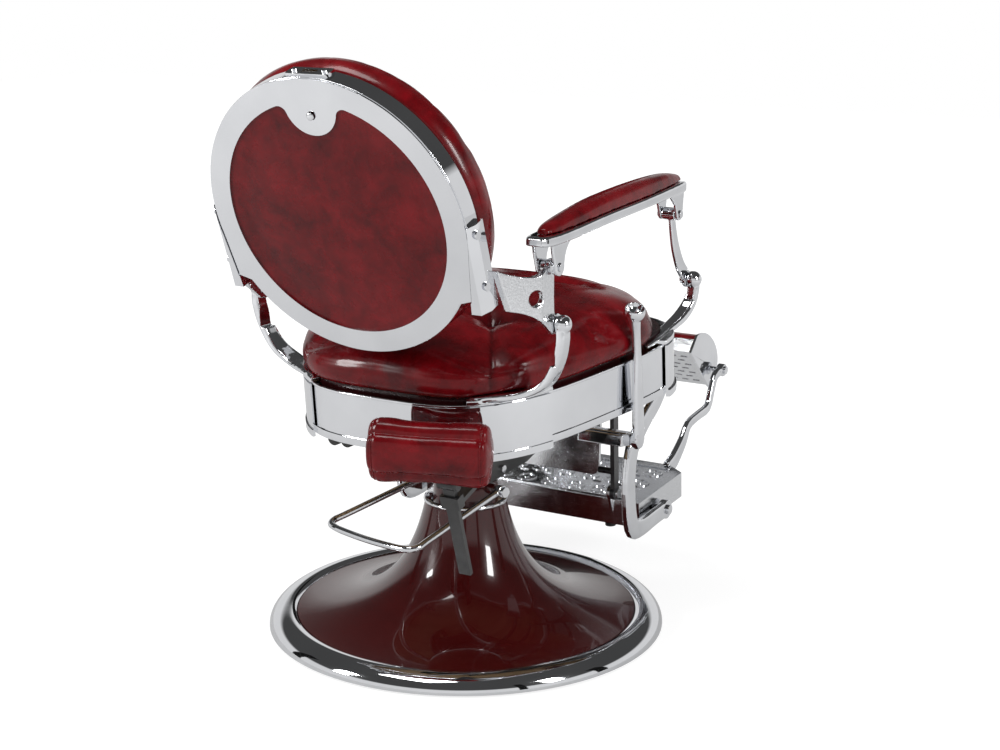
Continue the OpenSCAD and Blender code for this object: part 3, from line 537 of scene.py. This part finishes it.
def turned(node, material, profile):
    """A part turned on the lift axis from its half section, [radius, height] in millimetres."""
    obj = traced([(radius, 0, height) for radius, height in profile])
    bpy.ops.mesh.spin(steps=TURNED_STEPS, angle=2 * math.pi, center=(0, 0, 0), axis=(0, 0, 1))
    bpy.ops.mesh.select_all(action="SELECT")
    bpy.ops.mesh.remove_doubles(threshold=0.005 * MM)
    bpy.ops.mesh.normals_make_consistent(inside=False)
    bpy.ops.object.mode_set(mode="OBJECT")
    obj.name = node + "_turned"
    obj.data.materials.append(material)
    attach(obj, BODY_OF[node])
    smooth(obj, 40)
    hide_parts(node)


def bezier(a, b, c, d, count):
    points = []
    for i in range(count + 1):
        t = i / count
        u = 1 - t
        points.append([u ** 3 * p + 3 * u * u * t * q + 3 * u * t * t * r + t ** 3 * s
                       for p, q, r, s in zip(a, b, c, d)])
    return points


def arc(cx, cy, rx, ry, start, end, count):
    turn = [math.radians(start + (end - start) * i / count) for i in range(count + 1)]
    return [[cx + rx * math.cos(t), cy + ry * math.sin(t)] for t in turn]


def cut_round(obj, at, normal):
    """The closed path where a plane cuts an object's skin."""
    work = bmesh.new()
    work.from_mesh(obj.data)
    cut = bmesh.ops.bisect_plane(work, geom=work.verts[:] + work.edges[:] + work.faces[:], dist=1e-6,
                                 plane_co=at, plane_no=normal)["geom_cut"]
    edges = [e for e in cut if isinstance(e, bmesh.types.BMEdge)]
    linked = {}
    for edge in edges:
        a, b = edge.verts
        linked.setdefault(a, []).append(b)
        linked.setdefault(b, []).append(a)
    start = here = edges[0].verts[0]
    path, before = [], None
    while not path or here is not start:
        path.append(here.co.copy())
        before, here = here, next(v for v in linked[here] if v is not before)
    work.free()
    return path


def piping(name, cushion, node, at, normal):
    """A round welt sewn on a cushion where a plane cuts it."""
    path = cut_round(cushion, at, normal)
    spaced = [path[0]]
    for point in path[1:]:
        if (point - spaced[-1]).length > PIPING_STEP:
            spaced.append(point)
    curve = bpy.data.curves.new(name, "CURVE")
    curve.dimensions = "3D"
    curve.bevel_depth = PIPING_RADIUS
    curve.bevel_resolution = 3
    curve.use_fill_caps = False
    spline = curve.splines.new("POLY")
    spline.points.add(len(spaced) - 1)
    for point, place in zip(spline.points, spaced):
        point.co = (*place, 1.0)
    spline.use_cyclic_u = True
    holder = bpy.data.objects.new(name + "_path", curve)
    bpy.context.scene.collection.objects.link(holder)
    mesh = bpy.data.meshes.new_from_object(holder)
    bpy.data.objects.remove(holder)
    welt = new_object(name, mesh, LEATHER, node)
    smooth(welt)
    set_fold_shade(welt, lambda v: 0.0)


def mesh_from_rings(name, rings, top, bottom):
    """Closed mesh from rings of points, top middle first, over the edge and down to the bottom."""
    count = len(rings[0])
    points = [p for ring in rings for p in ring] + [top, bottom]
    faces = []
    for i in range(len(rings) - 1):
        for k in range(count):
            a, b = i * count + k, i * count + (k + 1) % count
            faces.append((a, a + count, b + count, b))
    last = (len(rings) - 1) * count
    for k in range(count):
        faces.append((len(points) - 2, k, (k + 1) % count))
        faces.append((len(points) - 1, last + (k + 1) % count, last + k))
    mesh = bpy.data.meshes.new(name)
    mesh.from_pydata(points, [], faces)
    work = bmesh.new()
    work.from_mesh(mesh)
    bmesh.ops.recalc_face_normals(work, faces=work.faces)
    work.to_mesh(mesh)
    work.free()
    return mesh


def clamp(value):
    return max(0.0, min(1.0, value))


def set_fold_shade(obj, value):
    """Keeps how deep each point lies in a fold, for the painted shade that darkens the leather's colour
    there.
    """
    mesh = obj.data
    layer = mesh.attributes.get("fold") or mesh.attributes.new("fold", "FLOAT", "POINT")
    for vertex in mesh.vertices:
        layer.data[vertex.index].value = clamp(value(vertex))


def segment_distance(p, a, b):
    ab = b - a
    t = clamp((p - a).dot(ab) / ab.length_squared)
    return (p - a - ab * t).length


def dent(distance, width, power=2):
    """Depth of a rounded dent at a distance from its middle, where it is 1."""
    return math.exp(-(distance / width) ** power)


def plump(obj, cap, pin):
    """Inflates a stuffed shape with cloth; pin(point) holds it, 1 fixed and 0 free."""
    scene = bpy.context.scene
    group = obj.vertex_groups.new(name="held")
    for vertex in obj.data.vertices:
        weight = pin(vertex.co)
        if weight > 0.0:
            group.add([vertex.index], weight, "REPLACE")
    before = [v.co.copy() for v in obj.data.vertices]
    cloth = obj.modifiers.new("cloth", "CLOTH")
    cloth.settings.use_pressure = True
    cloth.settings.uniform_pressure_force = CLOTH_PRESSURE
    cloth.settings.vertex_group_mass = "held"
    cloth.settings.effector_weights.gravity = 0.0
    cloth.settings.quality = 5
    cloth.collision_settings.use_collision = False
    cloth.point_cache.frame_start = 1
    cloth.point_cache.frame_end = CLOTH_FRAMES
    for step in range(1, CLOTH_FRAMES + 1):
        scene.frame_set(step)
    shaped = obj.evaluated_get(bpy.context.evaluated_depsgraph_get())
    after = [v.co.copy() for v in shaped.data.vertices]
    obj.modifiers.remove(cloth)
    obj.vertex_groups.remove(group)
    scene.frame_set(1)
    for vertex, a, b in zip(obj.data.vertices, before, after):
        move = b - a
        if move.length > cap:
            move *= cap / move.length
        vertex.co = a + move


# ------------------------------------------------------------------ tufted cushions

def seat_edge(degrees, grow):
    """Outline of the seat: a superellipse, narrower at the rear, in metres of the seat's own frame."""
    a = math.radians(degrees)
    wide, long = SEAT_HALF_WIDTH + grow * MM, SEAT_HALF_LENGTH + grow * MM
    power = 3.5 - 1.35 * max(0.0, -2 * math.sin(a) * abs(math.cos(a)))
    r = ((abs(math.cos(a)) / wide) ** power + (abs(math.sin(a)) / long) ** power) ** (-1 / power)
    y = r * math.sin(a)
    return Vector((r * math.cos(a) * (1 - 0.24 * y / SEAT_HALF_LENGTH), SEAT_Y + y))


def cushion_skin(place, middle, edge, crown, upper, lower, base):
    """Cushion skin: rings of the upper face, then of the side, in the world's frame."""
    turn = [360.0 * k / CUSHION_SECTORS for k in range(CUSHION_SECTORS)]
    rings = []
    for s in upper:
        ring = []
        for a in turn:
            flat = middle + (edge(a, 0.0) - middle) * s
            ring.append(place @ Vector((flat.x, flat.y, crown(flat, s))))
        rings.append(ring)
    for grow, height in lower:
        ring = []
        for a in turn:
            flat = edge(a, grow)
            ring.append(place @ Vector((flat.x, flat.y, height * MM)))
        rings.append(ring)
    top = place @ Vector((middle.x, middle.y, crown(middle, 0.0)))
    bottom = place @ Vector((middle.x, middle.y, base))
    return rings, top, bottom


def sewn(obj, place, buttons, pleats, low, flat_beyond, valley, crease, pit):
    """Presses button pits and stitched pleats into a cushion; depths in millimetres."""
    to_local = place.inverted()
    mesh = obj.data
    mesh.update()
    normals = [v.normal.copy() for v in mesh.vertices]
    fold_shades = []
    for vertex, normal in zip(mesh.vertices, normals):
        local = to_local @ vertex.co
        plan = Vector((local.x, local.y))
        to_buttons = [(plan - b).length for b in buttons]
        gather = 0.25 + 0.75 * dent(min(to_buttons), GATHER_WIDTH)
        broad = narrow = 0.0
        for a, b, strength in pleats:
            depth = strength if strength > 0.75 else strength * gather
            d = segment_distance(plan, a, b)
            if d < PLEAT_REACH:
                wander = 1.2 * MM * noise.noise(Vector((plan.x * 30, plan.y * 30, 4)))
                broad = max(broad, depth * dent(d, VALLEY_WIDTH))
                narrow = max(narrow, depth * dent(d + wander, CREASE_WIDTH))
        well = mouth = 0.0
        for d in to_buttons:
            if d < BUTTON_REACH:
                well = max(well, dent(d, WELL_WIDTH))
                mouth = max(mouth, dent(d, MOUTH_WIDTH, 4))
        fade = clamp((local.z - low) / SIDE_FADE)
        side = clamp((plan.length - flat_beyond) / EDGE_FADE)
        pleat = (valley * broad * (1 - side) + crease * narrow * (1 - 0.35 * side)) * fade
        vertex.co -= normal * ((pleat + pit * well) * MM + MOUTH_DEPTH * mouth)
        # painted shade for the leather's colour: strongest in the pleat creases, then the button mouths,
        # faint in the wells
        fold_shades.append(max(0.9 * narrow * fade, 0.75 * mouth, 0.25 * well))
    set_fold_shade(obj, lambda v: fold_shades[v.index])


def puckers(obj, place, buttons):
    """Short gathers that run out from each button like spokes."""
    to_local = place.inverted()
    obj.data.update()
    normals = [v.normal.copy() for v in obj.data.vertices]
    for vertex, normal in zip(obj.data.vertices, normals):
        local = to_local @ vertex.co
        plan = Vector((local.x, local.y))
        nearest = min(buttons, key=lambda b: (plan - b).length)
        d = (plan - nearest).length
        if d > PLEAT_REACH:
            continue
        angle = math.atan2(plan.y - nearest.y, plan.x - nearest.x)
        spoke = noise.noise(Vector((math.cos(angle) * 2.6 + nearest.x * 31,
                                    math.sin(angle) * 2.6 + nearest.y * 17, d * 14)))
        vertex.co += normal * (PUCKER_DEPTH * dent(d - PUCKER_RING, PUCKER_WIDTH) * spoke)


def solid_tree(nodes):
    """Search tree over the castings that a cushion has to leave room for."""
    work = bmesh.new()
    for node in nodes:
        work.from_mesh(NODES[node].data)
    tree = BVHTree.FromBMesh(work)
    work.free()
    return tree


def give_way(obj, tree, centre):
    """Moves the skin off the castings that press into it, towards the middle of the cushion."""
    for vertex in obj.data.vertices:
        for step in range(8):
            at, normal, face, distance = tree.find_nearest(vertex.co, 0.03)
            if at is None:
                break
            side = (vertex.co - at).dot(normal)
            if side > CLEARANCE or (side > 0 and distance > CLEARANCE):
                break
            vertex.co += (centre - vertex.co).normalized() * (CLEARANCE - side if side < 0 else CLEARANCE)


def button_heads(name, place, spots, radius, node, material, stem=3.5):
    """Domed buttons: one is turned up from a ball, and the others are copies of it."""
    bpy.ops.object.select_all(action="DESELECT")
    bpy.ops.mesh.primitive_uv_sphere_add(segments=28, ring_count=16, radius=radius)
    model = bpy.context.object
    bpy.ops.object.mode_set(mode="EDIT")
    bpy.ops.mesh.select_all(action="SELECT")
    bpy.ops.transform.resize(value=(1, 1, BUTTON_FLATNESS))
    bpy.ops.mesh.bisect(plane_co=(0, 0, -BUTTON_RIM * radius), plane_no=(0, 0, 1), clear_inner=True,
                        use_fill=True)
    bpy.ops.mesh.inset(thickness=BUTTON_RIM * radius)
    bpy.ops.mesh.extrude_region_move(TRANSFORM_OT_translate={"value": (0, 0, -stem * MM)})
    bpy.ops.mesh.select_all(action="SELECT")
    bpy.ops.mesh.normals_make_consistent(inside=False)
    bpy.ops.object.mode_set(mode="OBJECT")
    work = bmesh.new()
    for spot in spots:
        head = model.data.copy()
        head.transform(place @ Matrix.Translation(spot))
        work.from_mesh(head)
        bpy.data.meshes.remove(head)
    mesh = bpy.data.meshes.new(name)
    work.to_mesh(mesh)
    work.free()
    bpy.data.objects.remove(model)
    obj = new_object(name, mesh, material, node)
    smooth(obj, 50)
    if material is LEATHER:
        set_fold_shade(obj, lambda v: 0.0)
    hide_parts(node)
    return obj


def make_lock_button():
    """A polished dome that sits in the hole of the cover's tongue."""
    place = BACK @ Matrix.Translation((0, BACK_MID + 172 * MM, 0)) @ Matrix.Rotation(math.pi, 4, "X")
    button_heads("lock_button_dome", place, [(0, 0, 3.3 * MM)], 6.4 * MM, "lock_button", CHROME, stem=15)


def surface_height(obj, place, spots):
    """Height of the finished skin at each plan point, in the cushion's own frame."""
    tree = BVHTree.FromPolygons([v.co for v in obj.data.vertices],
                                [list(p.vertices) for p in obj.data.polygons])
    down = (place.to_3x3() @ Vector((0, 0, -1))).normalized()
    found = []
    for spot in spots:
        start = place @ Vector((spot.x, spot.y, 0.25))
        at = tree.ray_cast(start, down)[0]
        found.append((spot.x, spot.y, (place.inverted() @ at).z))
    return found


def upholster(name, node, place, skin, buttons, pleats, low, held_below, cap, crowd, centre,
              flat_beyond=1.0, **depths):
    """Grows, inflates and sews one tufted cushion, then makes room for the castings that crowd it."""
    obj = new_object(name, mesh_from_rings(name, *skin), LEATHER, node)
    to_local = place.inverted()

    def pin(point):
        local = to_local @ point
        plan = Vector((local.x, local.y))
        if min((plan - b).length for b in buttons) < BUTTON_HOLD:
            return 1.0
        on_top = plan.length < flat_beyond
        if on_top and min(segment_distance(plan, a, b) for a, b, strength in pleats) < PLEAT_HOLD:
            return 0.8
        return clamp((held_below + HOLD_FADE - local.z) / HOLD_FADE) ** 2

    plump(obj, cap, pin)
    apply(obj, "SUBSURF", levels=1, render_levels=1)
    sewn(obj, place, buttons, pleats, low, flat_beyond, **depths)
    puckers(obj, place, buttons)
    tree = solid_tree(crowd)
    for step in range(2):
        give_way(obj, tree, centre)
        apply(obj, "SMOOTH", factor=0.5, iterations=2)
    smooth(obj)
    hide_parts(node)
    return obj


def rising(count):
    """Shares of the way from the middle of a cushion to its edge, closer together near the edge."""
    return [math.sin(math.radians(90 * i / count)) for i in range(1, count + 1)]


def polar(radius, degrees):
    return Vector((radius * math.cos(math.radians(degrees)), radius * math.sin(math.radians(degrees))))


def make_back_cushion():
    middle, inner, outer = Vector((0, 0)), 76 * MM, 150 * MM
    quarters, eighths = range(45, 360, 90), range(0, 360, 45)
    buttons = [middle] + [polar(inner, a) for a in quarters] + [polar(outer, a) for a in eighths]
    pleats = [(middle, polar(inner, a), 0.8) for a in quarters]
    for a in quarters:
        pleats += [(polar(inner, a), polar(outer, a + d), 0.8) for d in (-45, 0, 45)]
    pleats += [(polar(outer, a), polar(280 * MM, a), 0.55) for a in eighths]
    side = [(1.8, 68), (3.0, 62.5), (3.2, 57), (2.4, 51.5), (0.8, 46.5), (-1.4, 42), (-4.0, 38), (-7.0, 35)]

    def edge(a, grow):
        return polar((232.5 + grow) * MM, a)

    def crown(flat, s):
        return (73 + 42 * math.sqrt(max(0.0, 1 - s ** 4.2))) * MM

    skin = cushion_skin(BACK_CENTRE, middle, edge, crown, rising(44), side, base=34.2 * MM)
    cushion = upholster("back_upholstery", "back_cushion", BACK_CENTRE, skin, buttons, pleats, low=36 * MM,
                        held_below=44 * MM, cap=5 * MM, crowd=["quadrant_plates", "side_bars", "back_band"],
                        centre=BACK_CENTRE @ Vector((0, 0, 0.06)), flat_beyond=0.178,
                        valley=5.0, crease=3.4, pit=14.0)
    button_heads("back_button_heads", BACK_CENTRE, surface_height(cushion, BACK_CENTRE, buttons), 9.5 * MM,
                 "back_buttons", LEATHER)


def make_seat_cushion():
    buttons = [Vector(b) * MM for b in ((-105, 80), (105, 80), (-105, -180), (105, -180), (0, -50))]
    pleats = []
    for side in (-1, 1):
        for a, b, strength in (((105, 80), (0, -50), 0.7), ((105, -180), (0, -50), 0.7),
                               ((105, 80), (200, 250), 0.8 if side < 0 else 0.3), ((105, 80), (178, 62), 0.7),
                               ((105, -180), (215, -330), 0.7), ((105, -180), (180, -160), 0.6)):
            pleats.append((Vector((side * a[0], a[1])) * MM, Vector((side * b[0], b[1])) * MM, strength))
    pleats += [(Vector((-0.105, y)), Vector((0.105, y)), 0.7) for y in (0.08, -0.18)]
    side = [(2.4, 45), (4.4, 39), (5.2, 33), (5.0, 27), (4.0, 21.5), (2.0, 16.5), (-0.8, 12.4), (-4.3, 9.8),
            (-8.2, 8.6), (-11.2, 9.4), (-12.4, 16.2)]

    def edge(a, grow):
        flat = seat_edge(a, grow - 1.0)
        rear = max(0.0, math.sin(math.radians(a)))
        return Vector((flat.x, SEAT_Y + (flat.y - SEAT_Y) * (1 - 0.02 * rear ** 3)))

    def crown(flat, s):
        rear_drop = 20 * max(0.0, (flat.y - 60 * MM) / (190 * MM)) ** 2
        front_drop = 14 * max(0.0, (-120 * MM - flat.y) / (170 * MM)) ** 2
        drop = rear_drop + front_drop
        return (50 - 0.35 * drop * s + (56 - drop) * math.sqrt(max(0.0, 1 - s ** 2.9))) * MM

    skin = cushion_skin(SEAT, Vector((0, SEAT_Y)), edge, crown, rising(46), side, base=16.2 * MM)
    cushion = upholster("seat_upholstery", "seat_cushion", SEAT, skin, buttons, pleats, low=10 * MM,
                        held_below=14 * MM, cap=7 * MM,
                        crowd=["rear_arm_posts", "front_arm_posts", "seat_apron", "corner_castings"],
                        centre=SEAT @ Vector((0, SEAT_Y, 0.04)), valley=9.0, crease=6.0, pit=13.0)
    heads = button_heads("seat_button_heads", SEAT, surface_height(cushion, SEAT, buttons), 10 * MM,
                         "seat_buttons", LEATHER)
    for piece in (cushion, heads):
        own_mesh(piece)


# ------------------------------------------------------------------ small pads

def soft_copy(node, name, voxel=2.5, passes=6):
    pad = copy_of(node, name, LEATHER)
    melt(pad, voxel, passes)
    return pad


def finish_pad(pad, node):
    apply(pad, "SUBSURF", levels=1, render_levels=1)
    set_fold_shade(pad, lambda v: 0.0)
    smooth(pad)
    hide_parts(node)


def make_arm_pads():
    for side in ("right", "left"):
        finish_pad(soft_copy(side + "_arm_pad", side + "_arm_upholstery"), side + "_arm_pad")


def make_flat_pads():
    """The flip-over rest's cushion and the padded panel behind the back."""
    finish_pad(soft_copy("flip_cushion", "flip_rest_upholstery", voxel=4.0, passes=4), "flip_cushion")
    finish_pad(soft_copy("back_panel", "back_panel_upholstery", voxel=4.0, passes=3), "back_panel")


def make_headrest():
    """The bolster: a barrel with a sewn cap at each end and slack leather that ripples between."""
    pad = soft_copy("headrest_pad", "headrest_upholstery", voxel=3.0)
    centre = HEADREST_CENTRE
    along = Vector((math.cos(HEADREST_YAW), math.sin(HEADREST_YAW), 0))
    across = along.cross(Vector((0, 0, 1)))
    pad.data.update()
    normals = [v.normal.copy() for v in pad.data.vertices]
    local = [Vector(((v.co - centre).dot(along), (v.co - centre).dot(across), v.co.z - centre.z))
             for v in pad.data.vertices]
    half, deep, tall = (max(abs(p[axis]) for p in local) for axis in range(3))
    for vertex, normal, p in zip(pad.data.vertices, normals, local):
        u, w = p.y / deep, p.z / tall
        reach = max(abs(u), abs(w), 1e-6)
        rounding = 0.85 * (reach / max(1e-6, (abs(u) ** 2.6 + abs(w) ** 2.6) ** (1 / 2.6))) + 0.15
        bulge = 1 + 0.05 * max(0.0, 1 - (u * u + w * w)) * (abs(p.x) / half) ** 4
        seam = dent(abs(p.x) - HEADREST_SEAM, 3 * MM)
        ripple = noise.noise(Vector((p.x * 34, p.y * 9, p.z * 12)))
        waist = 1 - 0.035 * (1 - (p.x / half) ** 2)
        co = centre + along * p.x * bulge + across * p.y * rounding * waist
        co.z = centre.z + p.z * rounding * waist
        vertex.co = co + normal * ((-1.6 * seam + 1.2 * ripple * (1 - seam)) * MM)
    finish_pad(pad, "headrest_pad")
    for i, x in enumerate((-HEADREST_SEAM, HEADREST_SEAM)):
        piping("headrest_piping_%d" % i, pad, "headrest_pad", centre + along * x, along)


# ------------------------------------------------------------------ metal parts

def make_castings():
    for node in ("rear_arm_posts", "front_arm_posts", "right_armrest", "left_armrest", "right_front_link",
                 "left_front_link", "side_castings", "front_arms", "recline_lever", "pump_pedal"):
        casting(node)
    casting("lever_crank", voxel=1.0, passes=3)


def make_turned_parts():
    crest, wall = 316, 5
    turned("base_ring", CHROME, arc(crest, 4, 34, 28, 0, 90, 20) + arc(crest, 22, 16, 10, 92, 180, 12)
           + [[crest - 16, 4], [crest + 34, 4]])
    bell = bezier((300, 27), (150, 34), (96, 110), (72, 222), 60)
    inside = [[x - wall if y > 60 else x, y - wall if y <= 60 else y] for x, y in reversed(bell)]
    turned("base_bell", ENAMEL, bell + [[67, 222]] + inside[1:] + [bell[0]])
    turned("neck_collar", CHROME, [[57, 222], [57, 231], [68, 231]] + arc(70, 226.5, 4.5, 4.5, 90, -90, 10)
           + [[57, 222]])


def make_quadrant_plates():
    """Cast plates whose outer faces are struck all over with a round punch."""
    plates = copy_of("quadrant_plates", "quadrant_plates_stippled", HAMMERED)
    melt(plates, voxel=1.2, passes=3)
    plates.data.update()
    normals = [v.normal.copy() for v in plates.data.vertices]
    for vertex, normal in zip(plates.data.vertices, normals):
        if abs(normal.x) > 0.6:
            nearest = noise.voronoi(vertex.co / PUNCH_PITCH)[0][0]
            vertex.co -= normal * (PUNCH_DEPTH * max(0.0, 1 - nearest * 1.6))
    smooth(plates)
    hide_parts("quadrant_plates")


def make_plates():
    make_quadrant_plates()
    for node in ("heel_panel", "foot_platform", "flip_plate"):
        polished(node, HAMMERED, width=0.5)


def make_polished_parts():
    for node in ("seat_apron", "corner_castings", "post_pins", "back_band",
                 "headrest_slot_plate", "right_arm_pins", "left_arm_pins", "platform_studs",
                 "platform_screws", "flip_end_plates", "back_screws", "pedal_pins", "chassis_bolts"):
        polished(node, CHROME)


# ------------------------------------------------------------------ studio

def plain_object(name, mesh, material):
    obj = bpy.data.objects.new(name, mesh)
    bpy.context.scene.collection.objects.link(obj)
    mesh.materials.append(material)
    return obj


def make_floor():
    """Pale floor that the camera and the chrome see as white far off, with painted shade dimming its glow
    near the chair, and the chair's own shadow kept.
    """
    finish = Shader("studio_floor", FLOOR_TONE, roughness=0.9)
    finish.set("Specular IOR Level", 0.0)
    path = finish.node("LightPath")
    seen = finish.math("MAXIMUM", path.outputs["Is Camera Ray"], path.outputs["Is Glossy Ray"])
    seen = finish.math("MAXIMUM", seen, path.outputs["Is Transmission Ray"])
    finish.colour(finish.mix(seen, FLOOR_TONE, MIRRORED_FLOOR))
    glow = finish.node("Emission")
    distance = finish.node("VectorMath", operation="LENGTH")
    finish.join(finish.place, distance.inputs[0])
    # painted shade: the floor's glow drops from 1.0 beyond 2.4 m to 0.80 within 0.5 m of the chair, darkening
    # the floor round it
    level = finish.remap(distance.outputs["Value"], 0.5, 2.4, 0.80, 1.0)
    mirrored = finish.math("MULTIPLY", path.outputs["Is Glossy Ray"], 0.52)
    shown = finish.math("MULTIPLY", seen, level)
    finish.join(finish.math("SUBTRACT", shown, mirrored), glow.inputs["Strength"])
    both = finish.node("AddShader")
    finish.join(finish.surface.outputs[0], both.inputs[0])
    finish.join(glow.outputs[0], both.inputs[1])
    finish.join(both.outputs[0], finish.tree.nodes["Material Output"].inputs["Surface"])
    mesh = bpy.data.meshes.new("studio_floor")
    corners = [(x * FLOOR_HALF, y * FLOOR_HALF, 0) for x, y in ((-1, -1), (1, -1), (1, 1), (-1, 1))]
    mesh.from_pydata(corners, [], [(0, 1, 2, 3)])
    plain_object("studio_floor", mesh, finish.material)


def make_world():
    """White all round for the camera; for the chrome, white low down and a dim ceiling overhead."""
    world = bpy.data.worlds.new("studio")
    bpy.context.scene.world = world
    world.use_nodes = True
    tree = world.node_tree
    path = tree.nodes.new("ShaderNodeLightPath").outputs
    direction = tree.nodes.new("ShaderNodeSeparateXYZ")
    tree.links.new(tree.nodes.new("ShaderNodeTexCoord").outputs["Generated"], direction.inputs[0])
    walls = map_range(tree, direction.outputs["Z"], 0.30, 0.38, WALL_GLOW, CEILING_GLOW)
    glossy = maths(tree, "MULTIPLY", path["Is Glossy Ray"], walls)
    diffuse = maths(tree, "MULTIPLY", maths(tree, "SUBTRACT", 1.0, path["Is Glossy Ray"]), ROOM_GLOW)
    unseen = maths(tree, "SUBTRACT", 1.0, path["Is Camera Ray"])
    others = maths(tree, "MULTIPLY", unseen, maths(tree, "ADD", glossy, diffuse))
    strength = maths(tree, "ADD", path["Is Camera Ray"], others)
    background = tree.nodes["Background"]
    background.inputs["Color"].default_value = (1, 1, 1, 1)
    tree.links.new(strength, background.inputs["Strength"])


def facing(at, towards):
    return (Vector(towards) - Vector(at)).to_track_quat("-Z", "Y")


def make_lamp(name, at, towards, size, power):
    data = bpy.data.lights.new(name, "AREA")
    data.shape = "RECTANGLE"
    data.size, data.size_y = size
    data.energy = power
    lamp = bpy.data.objects.new(name, data)
    bpy.context.scene.collection.objects.link(lamp)
    lamp.location = at
    lamp.rotation_euler = facing(at, towards).to_euler()


def make_card(name, at, towards, size):
    """A plain black card beside the set that only the chrome sees."""
    turn = facing(at, towards).to_matrix()
    corners = [Vector(at) + turn @ Vector((x * size[0] / 2, y * size[1] / 2, 0))
               for x, y in ((-1, -1), (1, -1), (1, 1), (-1, 1))]
    finish = Shader(name, CARD_TONE, roughness=0.9)
    finish.set("Specular IOR Level", 0.0)
    mesh = bpy.data.meshes.new(name)
    mesh.from_pydata(corners, [], [(0, 1, 2, 3)])
    card = plain_object(name, mesh, finish.material)
    card.visible_camera = False
    card.visible_diffuse = False
    card.visible_shadow = False


def make_studio():
    make_world()
    make_floor()
    make_lamp("overhead_softbox", (0.5, 1.0, 3.2), (0, 0, 0.5), (1.5, 0.9), 44)
    make_lamp("left_softbox", (2.4, 2.6, 1.9), (0, 0, 0.6), (0.6, 1.3), 78)
    make_lamp("right_softbox", (-3.1, 0.5, 1.9), (0, 0, 0.5), (0.6, 1.3), 62)
    make_card("dark_card_right", (-3.6, -1.2, 1.0), (0, 0, 0.7), (0.5, 2.6))
    make_card("dark_card_left", (3.4, 1.0, 1.0), (0, 0, 0.7), (0.5, 2.6))
    make_card("dark_card_corner", (-2.75, 1.55, 1.0), (0, 0, 0.7), (0.26, 2.6))
    make_card("dark_card_front", (1.6, -3.4, 1.0), (0, 0, 0.7), (0.6, 2.6))


bpy.context.scene.view_settings.view_transform = "Standard"
make_camera()
finish_nodes()
make_turned_parts()
make_polished_parts()
make_cover()
make_side_bars()
make_lock_button()
make_castings()
make_plates()
make_arm_pads()
make_headrest()
make_flat_pads()
make_back_cushion()
make_seat_cushion()
make_studio()
